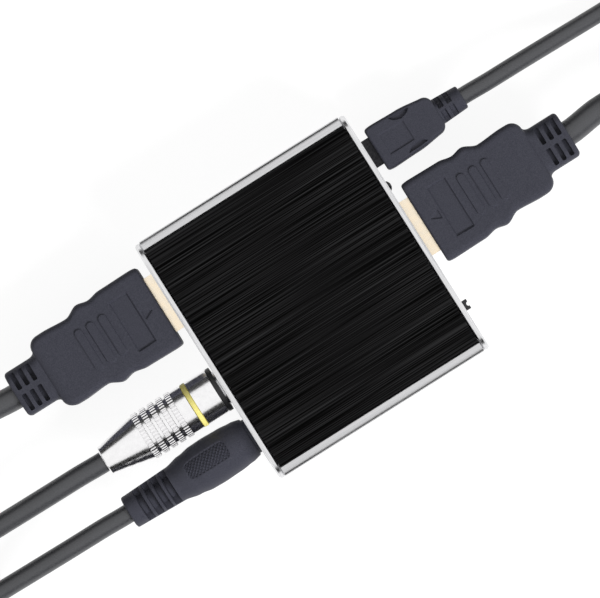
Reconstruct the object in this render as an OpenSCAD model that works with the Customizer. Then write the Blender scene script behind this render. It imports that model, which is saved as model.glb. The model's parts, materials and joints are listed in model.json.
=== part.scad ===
// Small metal signal box with its five leads plugged in.
// Origin: centre of the underside of the case. +X: the input face. +Z: up.
// A lead is drawn in a frame of its own: x runs outwards from the end plate it plugs into.

/* [Case] */
// Length of the case along X, both end plates included
case_length = 55; // [54:0.5:70]
// Width of the case along Y
case_width = 60; // [60:0.5:72]
// Height of the case
case_height = 20; // [19.5:0.5:26]
// Radius of the four long edges
case_corner_r = 2.2; // [1.6:0.1:2.6]
// Thickness of the extruded wall
case_wall = 1.8; // [1.6:0.1:2.2]
// Thickness of each end plate
plate_thick = 1.5; // [1.2:0.1:2]
// Bare metal shoulder beside the top and bottom panels
shoulder = 1.7; // [1.5:0.1:3]
// Thickness of the panels let into the top and the bottom
panel_thick = 0.8; // [0.5:0.1:1]
// Radius of the screw ports inside the four long edges
port_r = 1.75; // [1.6:0.05:1.9]
// Radius of the thread hole in a screw port
port_hole_r = 1; // [0.8:0.05:1.1]
// Width of the slit that opens each screw port
port_slit = 0.8; // [0.5:0.1:1]

/* [End plate screws] */
// Radius of a screw shank
screw_r = 0.98; // [0.7:0.02:0.98]
// Length of a screw, head included
screw_length = 8; // [5:0.5:12]
// Radius of a countersunk screw head
screw_head_r = 1.9; // [1.7:0.05:2]
// Depth of the countersunk part of the head
screw_head_depth = 0.9; // [0.7:0.05:1.1]
// Width of each bar of the cross recess in the head
screw_recess_w = 0.5; // [0.4:0.05:0.6]
// Length of each bar of the cross recess
screw_recess_l = 2; // [1.6:0.1:2.2]
// Depth of the cross recess
screw_recess_depth = 0.6; // [0.4:0.05:0.7]

/* [Circuit board] */
// Height of the underside of the board
board_z = 5.6; // [5.5:0.05:5.8]
// Thickness of the board
board_thick = 1.6; // [1.2:0.1:1.6]
// Clearance between the board and the rails that hold it
board_clear = 0.1; // [0.05:0.05:0.2]
// Thickness of a board rail
rail_thick = 1.1; // [0.8:0.1:1.4]
// How far a rail stands out of the side wall
rail_reach = 2; // [1.2:0.1:2.4]
// Side of the square video chip
video_chip_w = 11; // [8:0.5:12]
// Side of the square audio chip
audio_chip_w = 6; // [4:0.5:7]
// Thickness of a chip
chip_thick = 1.1; // [0.8:0.1:1.5]
// Radius of an electrolytic capacitor
capacitor_r = 2; // [1.5:0.1:2.4]
// Height of an electrolytic capacitor
capacitor_h = 5.4; // [4.5:0.1:7]
// Side of the power inductor
inductor_w = 5; // [4:0.5:6]
// Height of the power inductor
inductor_h = 3; // [2:0.1:4]
// Length of the crystal can
crystal_l = 5; // [4:0.5:7]
// Width of the crystal can
crystal_w = 3.2; // [2.5:0.1:4]
// Height of the crystal can
crystal_h = 1; // [0.7:0.1:1.4]

/* [Video sockets and plugs] */
// Place of the video input, as a share of the free half width of the case
video_in_place_share = 0.018; // [-0.02:0.002:0.04]
// Place of the video output, as a share of the free half width
video_out_place_share = 0.585; // [0.55:0.005:0.6]
// Height of the video sockets' axis above the board
video_axis_h = 3.1; // [3:0.05:3.4]
// Width of a plug's metal shell
video_shell_w = 13.9; // [13.5:0.1:14.2]
// Height of a plug's metal shell
video_shell_h = 4.45; // [4.2:0.05:4.6]
// Length of shell that stands out of the grip
video_shell_l = 11.7; // [11:0.1:12]
// Gap between the end plate and a plugged-in grip
video_grip_gap = 2.3; // [2:0.1:2.8]
// Length of a grip
video_grip_l = 29.6; // [27:0.1:32]
// Width of a grip at its front
video_grip_w = 20.3; // [19:0.1:21]
// Thickness of a grip
video_grip_h = 10.6; // [10:0.1:12]
// Length of the strain relief behind the grip
video_relief_l = 8.2; // [7.5:0.1:10]
// Width of the strain relief
video_relief_w = 11.2; // [10.5:0.1:12]
// Thickness of the strain relief
video_relief_h = 9; // [8.6:0.1:10]
// Diameter of a video cord
video_cord_d = 5.8; // [5:0.1:6.4]

/* [Power socket and plug] */
// Place of the power input, as a share of the free half width
power_place_share = 0.713; // [0.69:0.001:0.73]
// Height of the power socket's axis above the board
power_axis_h = 1.45; // [1.4:0.05:1.7]
// Width of the small plug's shell
power_shell_w = 6.85; // [6.5:0.05:7]
// Height of the small plug's shell
power_shell_h = 1.8; // [1.7:0.05:1.9]
// Length of shell that stands out of the small grip
power_shell_l = 6.9; // [6.5:0.1:7.1]
// Gap between the end plate and the plugged-in small grip
power_grip_gap = 1.9; // [1.6:0.1:2.4]
// Length of the small grip
power_grip_l = 16.3; // [15:0.1:18]
// Width of the small grip at its front
power_grip_w = 10.8; // [10:0.1:11.2]
// Thickness of the small grip
power_grip_h = 7.4; // [6.6:0.1:7.8]
// Length of the power cord's strain reliefs
power_relief_l = 6.4; // [5.5:0.1:8]
// Radius of the power cord's strain reliefs at the grip
power_relief_r = 3.1; // [2.9:0.05:3.3]
// Diameter of the power cord
power_cord_d = 4; // [4:0.1:4.6]
// Length of the far plug's grip
host_grip_l = 24; // [20:0.5:28]
// Width of the far plug's grip
host_grip_w = 15.6; // [15:0.1:17]
// Thickness of the far plug's grip
host_grip_h = 8; // [7.4:0.1:9]
// Width of the far plug's shell
host_shell_w = 12; // [11.8:0.1:12.2]
// Height of the far plug's shell
host_shell_h = 4.5; // [4.3:0.1:4.7]
// Length of the far plug's shell
host_shell_l = 18.7; // [17:0.1:19]

/* [Coaxial socket and plug] */
// Gap between the coaxial plug and the headphone plug beside it
plug_gap = 1.3; // [1:0.1:2]
// Height of the coaxial axis above the board
coax_axis_h = 4.2; // [4.15:0.05:4.6]
// Radius of the socket's metal sleeve
coax_sleeve_r = 4.15; // [4:0.01:4.2]
// Wall of the socket's metal sleeve
coax_sleeve_wall = 0.6; // [0.5:0.05:0.9]
// How far the sleeve stands out of the end plate
coax_sleeve_out = 8.5; // [7.5:0.1:9]
// Gap between the end plate and the front of the plug
coax_gap = 0.6; // [0.5:0.1:1.2]
// Radius of the plug's barrel
coax_barrel_r = 5.43; // [5.2:0.01:5.6]
// Length of the smooth front part of the barrel, its insulating ring included
coax_front_l = 10; // [9.9:0.1:11]
// Length of the ringed grip
coax_grip_l = 10.8; // [10:0.1:12]
// Radius of the knurled rings
coax_ring_r = 5.8; // [5.7:0.01:6]
// Length of the tapered tail
coax_tail_l = 9.8; // [8:0.1:12]
// Radius of the tail's end
coax_tail_r = 3.55; // [3.3:0.05:4]
// Radius of the centre pin
coax_pin_r = 1.575; // [1.5:0.005:1.6]
// How far the pin stands out of the front of the barrel
coax_pin_out = 6.5; // [5.5:0.1:7]
// Width of the coloured band
coax_band_w = 1; // [0.6:0.1:1.4]
// Knurled rings on the grip
coax_rings = 5; // [3:1:6]
// Teeth round a knurled ring
coax_ring_teeth = 40; // [24:2:60]
// Diameter of the coaxial cord
coax_cord_d = 4.8; // [4:0.1:5.4]

/* [Headphone socket and plug] */
// Place of the headphone output, as a share of the free half width
aux_place_share = -0.674; // [-0.69:0.002:-0.66]
// Height of the headphone axis above the board
aux_axis_h = 2.9; // [2.8:0.05:3.3]
// Radius of the plug's pin
aux_pin_r = 1.75; // [1.7:0.005:1.75]
// Length of the plug's pin
aux_pin_l = 14; // [13:0.1:14.5]
// Gap between the end plate and the front of the plug
aux_gap = 0.8; // [0.6:0.1:1.4]
// Length of the plug's moulded grip
aux_grip_l = 20; // [18:0.1:22]
// Largest radius of the grip
aux_grip_r = 5.55; // [5.2:0.05:5.7]
// Length of the ribbed strain relief
aux_relief_l = 12; // [10.5:0.1:14]
// Radius of the strain relief's end collar
aux_collar_r = 3.85; // [3.6:0.05:4]
// Grooves in the strain relief
aux_grooves = 4; // [3:1:5]
// Width of a groove
aux_groove_w = 1.1; // [0.8:0.1:1.3]
// Diameter of the headphone cord
aux_cord_d = 4.4; // [4:0.1:4.8]

/* [Switch and button] */
// Place of the slide switch at its middle setting, as a share of the free half width
switch_place_share = -0.7; // [-0.7:0.01:-0.64]
// Travel of the switch to each side
switch_travel = 2; // [1.5:0.1:2]
// Width of the switch knob
knob_w = 2.4; // [2:0.1:2.6]
// Height of the switch knob
knob_h = 1.9; // [1.6:0.1:2]
// How far the knob stands out of the end plate
knob_out = 1.2; // [0.8:0.1:2]
// Radius of the finger notch in the knob
knob_notch_r = 0.5; // [0.3:0.05:0.6]
// Height of the switch's axis above the board
switch_axis_h = 1.8; // [1.8:0.05:2]
// Place of the push button, as a share of the room between the sockets beside it
button_place_share = 0.48; // [0.45:0.01:0.55]
// Radius of the button
button_r = 1.3; // [1.1:0.05:1.4]
// How far the button's dome stands out of the end plate
button_out = 0.7; // [0.5:0.05:0.9]
// How far the button can be pressed
button_travel = 0.35; // [0.2:0.05:0.35]
// Height of the button's axis above the board
button_axis_h = 2; // [1.9:0.05:2.2]

/* [Hidden] */

// Overrun of every cut
over = 0.5;
// Smoothness of round faces
$fn = 64;

// Derived heights and places
face_x = case_length / 2;
shell_length = case_length - 2 * plate_thick;
inner_x = shell_length / 2;
inner_y = case_width / 2 - case_wall;
board_top = board_z + board_thick;
video_z = board_top + video_axis_h;
power_z = board_top + power_axis_h;
coax_z = board_top + coax_axis_h;
aux_z = board_top + aux_axis_h;
switch_z = board_top + switch_axis_h;
button_z = board_top + button_axis_h;
port_overlap = 0.1;
port_inset = case_wall + port_r - port_overlap;
video_in_y = inner_y * video_in_place_share;
video_out_y = inner_y * video_out_place_share;
power_y = inner_y * power_place_share;
aux_y = inner_y * aux_place_share;
coax_y = aux_y + aux_grip_r + plug_gap + coax_ring_r;
switch_y = inner_y * switch_place_share;

// Clearances
panel_gap = 0.05;
cutout_clear = 0.25;
screw_head_clear = 0.05;
shell_clear = 0.05;
running_clear = 0.05;
button_clear = 0.08;
knob_clear = 0.15;
board_end_gap = 0.3;
coax_body_gap = 2.6;

// Circuit board places, as shares of the free half length and half width
video_chip_place_shares = [-0.02, 0.2];
audio_chip_place_shares = [-0.04, -0.42];
capacitor_place_shares = [[0.42, -0.5], [0.2, -0.72], [0.36, 0.62]];
inductor_place_shares = [0.08, 0.76];
crystal_place_shares = [0.36, -0.3];
chip_bevel_share = 0.25;
chip_dot_share = 0.06;
can_base_h = 1;
inductor_core_share = 0.42;
inductor_core_rise = 0.3;
crystal_round_share = 0.45;

// Video connector, shares of the shell's own width and height
shell_side_share = 0.5;
shell_cut_share = 0.13;
metal_wall = 0.35;
socket_wall = 0.4;
socket_recess = 0.2;
video_socket_depth = 10.4;
video_tongue_w = 11.2;
video_tongue_h = 1.2;
video_tongue_setback = 1;
socket_back_l = 1.6;
tongue_clear = 0.25;
contact_w = 0.3;
contact_pitch = 1;
contact_depth = 0.1;
contact_rows = 10;
leg_w = 0.9;
leg_l = 1.6;
latch_w = 2.2;
latch_l = 2.4;
latch_inset_share = 0.3;
latch_setback = 3;

// Video grip: half width along its length, as shares of the front half width
grip_width_shares = [
    [0, 0.985], [0.06, 1], [0.33, 0.99], [0.44, 0.935], [0.53, 0.985],
    [0.655, 0.845], [0.86, 0.88], [1, 0.87]
];
grip_rear_r = 2.5;
grip_front_r = 0.6;
grip_edge_r = 2.1;
grip_rear_edge_r = 1.1;
grip_steps = 26;
grip_round_steps = 4;
edge_points = 3;
bar_l = 10.4;
bar_w = 2;
bar_rise = 0.25;
bar_place_shares = [0.415, 0.52, 0.625];
badge_l = 3.6;
badge_w = 12.6;
badge_depth = 0.25;
badge_place_share = 0.235;
mark_side = 2.2;
mark_depth = 0.15;
mark_place_share = 0.1;
relief_root_l = 1.6;
relief_root_share = 1.16;
relief_corner_r = 0.9;
relief_edge_r = 2.6;
slot_w = 1.1;
slot_rows = 3;
slot_web = 1.2;
slot_side_wall = 0.85;
slot_depth = 1.9;
slot_first = 2.5;
slot_pitch = 2;
root_steps = 6;

// Small power grips
power_width_shares = [[0, 0.97], [0.1, 1], [0.5, 0.97], [1, 0.82]];
host_width_shares = [[0, 1], [0.3, 1], [0.72, 0.86], [1, 0.8]];
power_rear_r = 1.8;
power_edge_r = 1.6;
power_steps = 12;
power_wall = 0.25;
power_socket_wall = 0.3;
power_socket_depth = 5.6;
button_room_start = video_in_y + video_shell_w / 2 + shell_clear + socket_wall;
button_room_end = power_y - power_shell_w / 2 - shell_clear - power_socket_wall;
button_y = button_room_start + (button_room_end - button_room_start) * button_place_share;
power_tongue_w = 3.7;
power_tongue_h = 0.6;
dimple_r = 2.6;
dimple_depth = 0.4;
dimple_place_share = 0.53;
dimple_out = 0.4;
window_l = 6.2;
window_w = 5;
window_depth = 0.2;
window_start = 2.3;
relief_ring_w = 1.3;
relief_ring_gap = 0.85;
relief_core_share = 0.76;
relief_end_share = 0.9;
relief_web_w = 1.4;
host_wall = 0.3;
host_tongue_h = 1.8;
host_hole_w = 2.3;
host_hole_l = 2.5;
host_hole_y = 2.75;
host_hole_setback = 3.4;

// Coaxial connector
coax_body_l = 12;
coax_body_w = 9.6;
coax_collar_r = 4.75;
coax_collar_out = 0.2;
coax_hole_r = 4.9;
coax_bore_in = 7.5;
coax_insulator_l = 1.5;
coax_ring_front = 0.9;
coax_band_place = 6.5;
coax_band_depth = 0.25;
coax_band_rise = 0.06;
coax_groove_share = 0.4;
coax_groove_depth = 0.6;
coax_tooth_depth = 0.18;
coax_tooth_top_share = 0.4;
coax_tooth_foot_share = 0.6;
coax_tail_lip = 0.7;
coax_sleeve_seat = 0.4;
coax_seat_x = coax_sleeve_out - coax_gap + coax_sleeve_seat;
coax_plug_l = coax_front_l + coax_grip_l + coax_tail_l;
coax_pin_root_r = 1.2;
pin_tip_share = 0.55;
pin_tip_l = 0.9;

// Headphone connector
aux_body_l = 14;
aux_body_w = 7;
aux_nose_r = 3.1;
aux_nose_hole_r = 3.2;
aux_bore_end_gap = 0.6;
aux_radius_shares = [
    [0, 0.81], [0.12, 0.9], [0.28, 0.97], [0.5, 1], [0.64, 0.985],
    [0.8, 0.9], [1, 0.77]
];
aux_grip_points = 20;
aux_relief_root_share = 0.77;
aux_collar_l = 2.7;
aux_core_r = 2.6;
aux_web_w = 2.2;
aux_front_r = 0.5;
aux_tip_l = 3.2;
aux_tip_neck_r = 1.15;
aux_tip_ball_r = 1.6;
aux_tip_end_r = 0.8;

// Switch and button
knob_slot_w = knob_w + 2 * (switch_travel + knob_clear);
knob_slot_h = knob_h + 2 * knob_clear;
frame_l = 3.6;
frame_w = 9.6;
frame_wall = 0.35;
knob_foot_w = 4.2;
knob_foot_h = 2.6;
knob_foot_l = 0.9;
base_l = 3.4;
base_w = 4.6;
base_h = 4;
base_front_gap = 1;
stem_r = 0.8;
stem_l = 2;
press_clear = 0.05;
stem_gap = button_travel + press_clear;
cap_back_gap = button_travel + press_clear;

// Cord routes, in each lead's own frame: distance from the strain relief, side, height
// above the floor. The first and last heights are those of the two plugs.
video_in_route = [
    [0, 0, video_z], [9, 0.9, video_z], [46, 1.4, video_cord_d / 2], [76, -1, video_cord_d / 2],
    [104, -3, video_grip_h / 2], [112, -3, video_grip_h / 2]
];
video_out_route = [
    [0, 0, video_z], [8, -0.6, video_z], [46, -1, video_cord_d / 2], [76, 0, video_cord_d / 2],
    [104, 1, video_grip_h / 2], [112, 1, video_grip_h / 2]
];
power_route = [
    [0, 0, power_z], [8, -0.2, power_z], [44, -0.4, power_cord_d / 2], [84, 0.6, power_cord_d / 2],
    [112, 0, host_grip_h / 2], [120, 0, host_grip_h / 2]
];
coax_route = [
    [0, 0, coax_z], [8, -0.2, coax_z], [50, -0.6, coax_cord_d / 2], [86, 0.4, coax_cord_d / 2],
    [112, 0, coax_ring_r], [120, 0, coax_ring_r]
];
aux_route = [
    [0, 0, aux_z], [8, -0.2, aux_z], [46, -0.6, aux_cord_d / 2], [86, 0.6, aux_cord_d / 2],
    [112, 0.8, aux_grip_r], [120, 0.8, aux_grip_r]
];
cord_sides = 12;
cord_ring_share = 2.1;

// Eased value at t in a table of [place, value]
function ease(s) = s * s * (3 - 2 * s);
function segment(table, t, i = 0) =
    i >= len(table) - 2 || t <= table[i + 1][0] ? i : segment(table, t, i + 1);
function value_at(table, t) =
    let (i = segment(table, t), a = table[i], b = table[i + 1],
         s = min(1, max(0, (t - a[0]) / (b[0] - a[0]))))
    a[1] + (b[1] - a[1]) * ease(s);
function route_at(route, x) = [
    x, value_at([for (p = route) [p[0], p[1]]], x), value_at([for (p = route) [p[0], p[2]]], x)
];
function route_end(route) = route[len(route) - 1];

// Inset of a rounded end of radius r, at distance d from that end
function round_inset(d, r) = d >= r ? 0 : r - sqrt(max(0, r * r - (r - d) * (r - d)));
// Places along a body of length l with finer steps in its rounded ends
function ring_places(l, front_r, rear_r, steps) = concat(
    [for (i = [0:grip_round_steps - 1]) front_r * (1 - cos(90 * i / grip_round_steps))],
    [for (i = [0:steps]) front_r + (l - front_r - rear_r) * i / steps],
    [for (i = [1:grip_round_steps]) l - rear_r * (1 - sin(90 * i / grip_round_steps))]
);
// Sides on which the four corners of such a ring lie, in the order of their angles
corner_sides = [[1, 1], [-1, 1], [-1, -1], [1, -1]];
// Ring of points across X: a rectangle of half sizes w and h with round corners
function section_ring(x, w, h, r) = [
    for (q = [0:3]) for (i = [0:edge_points])
        let (a = 90 * q + 90 * i / edge_points, side = corner_sides[q])
        [x, side[0] * (w - r) + r * cos(a), side[1] * (h - r) + r * sin(a)]
];
function grip_rings(l, w, h, shares, front_r, rear_r, side_r, steps) = [
    for (x = ring_places(l, front_r, rear_r, steps))
        let (front = round_inset(x, front_r),
             rear = round_inset(l - x, rear_r),
             top = rear * grip_rear_edge_r / grip_rear_r)
        section_ring(x, w / 2 * value_at(shares, x / l) - front - rear, h / 2 - front - top,
                     side_r)
];

// Solid skinned over rings of points that all have the same count
module skin(rings) {
    count = len(rings[0]);
    last = len(rings) - 1;
    points = [for (ring = rings) for (p = ring) p];
    side_faces = [
        for (i = [0:last - 1]) for (j = [0:count - 1])
            let (a = i * count + j, b = i * count + (j + 1) % count)
            each [[a, a + count, b + count], [a, b + count, b]]
    ];
    first_face = [for (j = [0:count - 1]) j];
    last_face = [for (j = [count - 1:-1:0]) last * count + j];
    polyhedron(points, concat([first_face], side_faces, [last_face]), convexity = 6);
}

// Extrudes a YZ outline from x0 along +X
module along_x(x0, length) {
    translate([x0, 0, 0])
        rotate([90, 0, 90])
            linear_extrude(length)
                children();
}

// Turns an outline of [radius, place] about the X axis
module turned(points) {
    rotate([90, 0, 90])
        rotate_extrude()
            polygon(points);
}

// Rod along X from x0
module rod(x0, length, r) {
    translate([x0, 0, 0])
        rotate([0, 90, 0])
            cylinder(h = length, r = r);
}

// Block from x0 along X, centred on Y and Z
module bar(x0, length, width, height) {
    translate([x0, -width / 2, -height / 2])
        cube([length, width, height]);
}

module rounded_outline(width, height, r) {
    square([width - 2 * r, height], center = true);
    square([width, height - 2 * r], center = true);
    for (sy = [-1, 1], sz = [-1, 1])
        translate([sy * (width / 2 - r), sz * (height / 2 - r)])
            circle(r = r);
}

// Places its children in the frame of a connector on the input or output face
module on_input(y, z) {
    translate([face_x, y, z])
        children();
}
module on_output(y, z) {
    translate([-face_x, y, z])
        rotate([0, 0, 180])
            children();
}
// The same for a lead's far end: the plug faces outwards from the end of the route
module at_far_end(start, route, length, z) {
    far = route_end(route);
    translate([start + far[0] + length, far[1], far[2] - z])
        rotate([0, 0, 180])
            children();
}

module cord(route, start, z, diameter) {
    length = route_end(route)[0];
    count = ceil(length / (cord_ring_share * diameter));
    step = length / count;
    rings = [
        for (i = [0:count])
            let (x = i * step,
                 p = route_at(route, x),
                 before = i == 0 || i == count ? [x - step, p[1], p[2]] : route_at(route, x - step / 2),
                 after = i == 0 || i == count ? [x + step, p[1], p[2]] : route_at(route, x + step / 2),
                 t = (after - before) / norm(after - before),
                 side = cross([0, 0, 1], t) / norm(cross([0, 0, 1], t)),
                 up = cross(t, side))
            [for (j = [0:cord_sides - 1])
                let (a = 360 * j / cord_sides)
                p + [start, 0, -z] + diameter / 2 * (side * cos(a) + up * sin(a))]
    ];
    skin(rings);
}

// Case

module case_outline() {
    translate([0, case_height / 2])
        rounded_outline(case_width, case_height, case_corner_r);
}
module port_places() {
    for (sy = [-1, 1], sz = [-1, 1])
        translate([sy * (case_width / 2 - port_inset),
                   case_height / 2 + sz * (case_height / 2 - port_inset)])
            scale([sy, sz])
                children();
}

module case_section() {
    difference() {
        case_outline();
        translate([0, case_height / 2])
            rounded_outline(2 * inner_y, case_height - 2 * case_wall, case_corner_r - case_wall / 2);
    }
}
module board_rails() {
    for (sy = [-1, 1], z = [board_z - board_clear - rail_thick / 2,
                            board_top + board_clear + rail_thick / 2])
        translate([sy * (inner_y + (over - rail_reach) / 2), z])
            square([rail_reach + over, rail_thick], center = true);
}
module case_shell() {
    panel_w = case_width - 2 * shoulder;
    color("gainsboro")
        along_x(-shell_length / 2, shell_length)
            difference() {
                union() {
                    difference() {
                        union() {
                            case_section();
                            port_places() {
                                circle(r = port_r);
                                square(port_r);
                            }
                        }
                        port_places()
                            rotate(45)
                                translate([-port_r - over, -port_slit / 2])
                                    square([port_r + over, port_slit]);
                    }
                    board_rails();
                }
                for (z = [-over, case_height - panel_thick])
                    translate([-panel_w / 2, z])
                        square([panel_w, panel_thick + over]);
                port_places()
                    circle(r = port_hole_r);
            }
}

module panel_plate(z) {
    panel_w = case_width - 2 * shoulder - 2 * panel_gap;
    translate([-shell_length / 2, -panel_w / 2, z])
        cube([shell_length, panel_w, panel_thick]);
}
module top_panel() {
    color([0.08, 0.08, 0.09])
        panel_plate(case_height - panel_thick);
}
module bottom_panel() {
    color([0.08, 0.08, 0.09])
        panel_plate(0);
}

// Screws, from the outer face of a plate inwards along -X in the plate's own frame
module screw_shape(extra, hole) {
    turned([
        [0, -(hole ? plate_thick + over : screw_length)],
        [(hole ? port_hole_r : screw_r), -(hole ? plate_thick + over : screw_length)],
        [(hole ? port_hole_r : screw_r), -screw_head_depth],
        [screw_head_r + extra, 0],
        [screw_head_r + extra, hole ? over : 0],
        [0, hole ? over : 0]
    ]);
}
module screw_spots() {
    for (sy = [-1, 1], sz = [-1, 1])
        translate([0, sy * (case_width / 2 - port_inset),
                   case_height / 2 + sz * (case_height / 2 - port_inset)])
            children();
}
module end_plate_screws() {
    color("silver")
        for (turn = [0, 180])
            rotate([0, 0, turn])
                translate([face_x, 0, 0])
                    screw_spots()
                        difference() {
                            screw_shape(0, false);
                            for (quarter = [0, 90])
                                rotate([quarter, 0, 0])
                                    bar(-screw_recess_depth, screw_recess_depth + over,
                                        screw_recess_l, screw_recess_w);
                        }
}

module plate_blank() {
    difference() {
        along_x(-plate_thick, plate_thick)
            case_outline();
        screw_spots()
            screw_shape(screw_head_clear, true);
    }
}
module plate_window(y, z, width, height, r) {
    translate([0, y, z])
        along_x(-plate_thick - over, plate_thick + 2 * over)
            rounded_outline(width, height, r);
}

module end_plate_in() {
    socket_w = video_shell_w + 2 * (shell_clear + socket_wall + cutout_clear);
    socket_h = video_shell_h + 2 * (shell_clear + socket_wall + cutout_clear);
    small_w = power_shell_w + 2 * (shell_clear + power_socket_wall + cutout_clear);
    small_h = power_shell_h + 2 * (shell_clear + power_socket_wall + cutout_clear);
    color("whitesmoke")
        translate([face_x, 0, 0])
            difference() {
                plate_blank();
                plate_window(video_in_y, video_z, socket_w, socket_h, cutout_clear);
                plate_window(power_y, power_z, small_w, small_h, cutout_clear);
                plate_window(switch_y, switch_z, knob_slot_w, knob_slot_h, cutout_clear);
                translate([0, button_y, button_z])
                    rod(-plate_thick - over, plate_thick + 2 * over, button_r + button_clear);
            }
}
module end_plate_out() {
    socket_w = video_shell_w + 2 * (shell_clear + socket_wall + cutout_clear);
    socket_h = video_shell_h + 2 * (shell_clear + socket_wall + cutout_clear);
    color("whitesmoke")
        translate([-face_x, 0, 0])
            rotate([0, 0, 180])
                difference() {
                    plate_blank();
                    plate_window(-video_out_y, video_z, socket_w, socket_h, cutout_clear);
                    translate([0, -coax_y, coax_z])
                        rod(-plate_thick - over, plate_thick + 2 * over, coax_hole_r);
                    translate([0, -aux_y, aux_z])
                        rod(-plate_thick - over, plate_thick + 2 * over, aux_nose_hole_r);
                }
}

// Circuit board and what is soldered on it

module circuit_board() {
    length = shell_length - 2 * board_end_gap;
    width = 2 * (inner_y - 2 * board_clear);
    color([0.05, 0.3, 0.16])
        translate([-length / 2, -width / 2, board_z])
            cube([length, width, board_thick]);
}
module board_spot(shares) {
    translate([inner_x * shares[0], inner_y * shares[1], board_top])
        children();
}
module chip(width) {
    bevel = chip_thick * chip_bevel_share;
    dot_r = width * chip_dot_share;
    difference() {
        translate([-width / 2, -width / 2, 0])
            cube([width, width, chip_thick]);
        for (quarter = [0:3])
            rotate([0, 0, 90 * quarter])
                translate([width / 2, 0, chip_thick])
                    rotate([0, 45, 0])
                        cube([bevel, width + over, bevel], center = true);
        translate([2 * dot_r - width / 2, width / 2 - 2 * dot_r, chip_thick - bevel / 2])
            cylinder(h = bevel, r = dot_r);
    }
}
module video_chip() {
    color([0.1, 0.1, 0.11])
        board_spot(video_chip_place_shares)
            chip(video_chip_w);
}
module audio_chip() {
    color([0.1, 0.1, 0.11])
        board_spot(audio_chip_place_shares)
            chip(audio_chip_w);
}
module capacitors() {
    color("silver")
        for (spot = capacitor_place_shares)
            board_spot(spot) {
                translate([-capacitor_r, -capacitor_r, 0])
                    cube([2 * capacitor_r, 2 * capacitor_r, can_base_h]);
                translate([0, 0, can_base_h])
                    cylinder(h = capacitor_h - can_base_h, r = capacitor_r);
            }
}
module inductor() {
    color([0.25, 0.25, 0.27])
        board_spot(inductor_place_shares) {
            translate([-inductor_w / 2, -inductor_w / 2, 0])
                cube([inductor_w, inductor_w, inductor_h - inductor_core_rise]);
            cylinder(h = inductor_h, r = inductor_w * inductor_core_share);
        }
}
module crystal() {
    color("silver")
        board_spot(crystal_place_shares)
            linear_extrude(crystal_h)
                rounded_outline(crystal_l, crystal_w, crystal_w * crystal_round_share);
}

// Video connectors

module video_outline(width, height) {
    side = height * shell_side_share;
    cut = width * shell_cut_share;
    polygon([
        [-width / 2, height / 2], [width / 2, height / 2],
        [width / 2, height / 2 - side], [width / 2 - cut, -height / 2],
        [cut - width / 2, -height / 2], [-width / 2, height / 2 - side]
    ]);
}
module video_socket_shell() {
    inner_w = video_shell_w + 2 * shell_clear;
    inner_h = video_shell_h + 2 * shell_clear;
    outer_w = inner_w + 2 * socket_wall;
    outer_h = inner_h + 2 * socket_wall;
    length = video_socket_depth + socket_back_l;
    along_x(-socket_recess - length, length)
        difference() {
            video_outline(outer_w, outer_h);
            video_outline(inner_w, inner_h);
        }
    leg_h = video_axis_h - outer_h / 2 + socket_wall / 2;
    leg_y = outer_w / 2 - outer_w * shell_cut_share - leg_w;
    for (sy = [-1, 1], back = [0, 1])
        translate([-plate_thick - leg_l - back * (length - plate_thick - 2 * leg_l),
                   sy * leg_y - leg_w / 2, -video_axis_h])
            cube([leg_l, leg_w, leg_h]);
}
module video_socket_tongue() {
    inner_w = video_shell_w + 2 * shell_clear;
    inner_h = video_shell_h + 2 * shell_clear;
    tongue_l = video_socket_depth - video_tongue_setback;
    back_x = -socket_recess - video_socket_depth;
    difference() {
        union() {
            along_x(back_x - socket_back_l, socket_back_l)
                video_outline(inner_w, inner_h);
            bar(back_x - over, tongue_l + over, video_tongue_w, video_tongue_h);
        }
        for (i = [0:contact_rows - 1], sz = [-1, 1])
            translate([back_x + over, (i - (contact_rows - 1) / 2) * contact_pitch - contact_w / 2,
                       sz == 1 ? video_tongue_h / 2 - contact_depth : -video_tongue_h / 2 - over])
                cube([tongue_l - 2 * over, contact_w, contact_depth + over]);
    }
}
module video_plug_shell() {
    latch_y = video_shell_w * latch_inset_share;
    difference() {
        along_x(video_grip_gap - video_shell_l, video_shell_l)
            difference() {
                video_outline(video_shell_w, video_shell_h);
                video_outline(video_shell_w - 2 * metal_wall, video_shell_h - 2 * metal_wall);
            }
        for (sy = [-1, 1])
            translate([video_grip_gap - video_shell_l + latch_setback,
                       sy * latch_y - latch_w / 2, video_shell_h / 2 - metal_wall - over])
                cube([latch_l, latch_w, metal_wall + 2 * over]);
    }
}
module video_plug_core() {
    cavity_l = video_socket_depth - video_tongue_setback;
    tip_x = video_grip_gap - video_shell_l;
    difference() {
        along_x(tip_x + metal_wall, video_shell_l - metal_wall)
            video_outline(video_shell_w - 2 * metal_wall, video_shell_h - 2 * metal_wall);
        bar(tip_x, cavity_l, video_tongue_w + 2 * tongue_clear, video_tongue_h + 2 * tongue_clear);
    }
}

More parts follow.
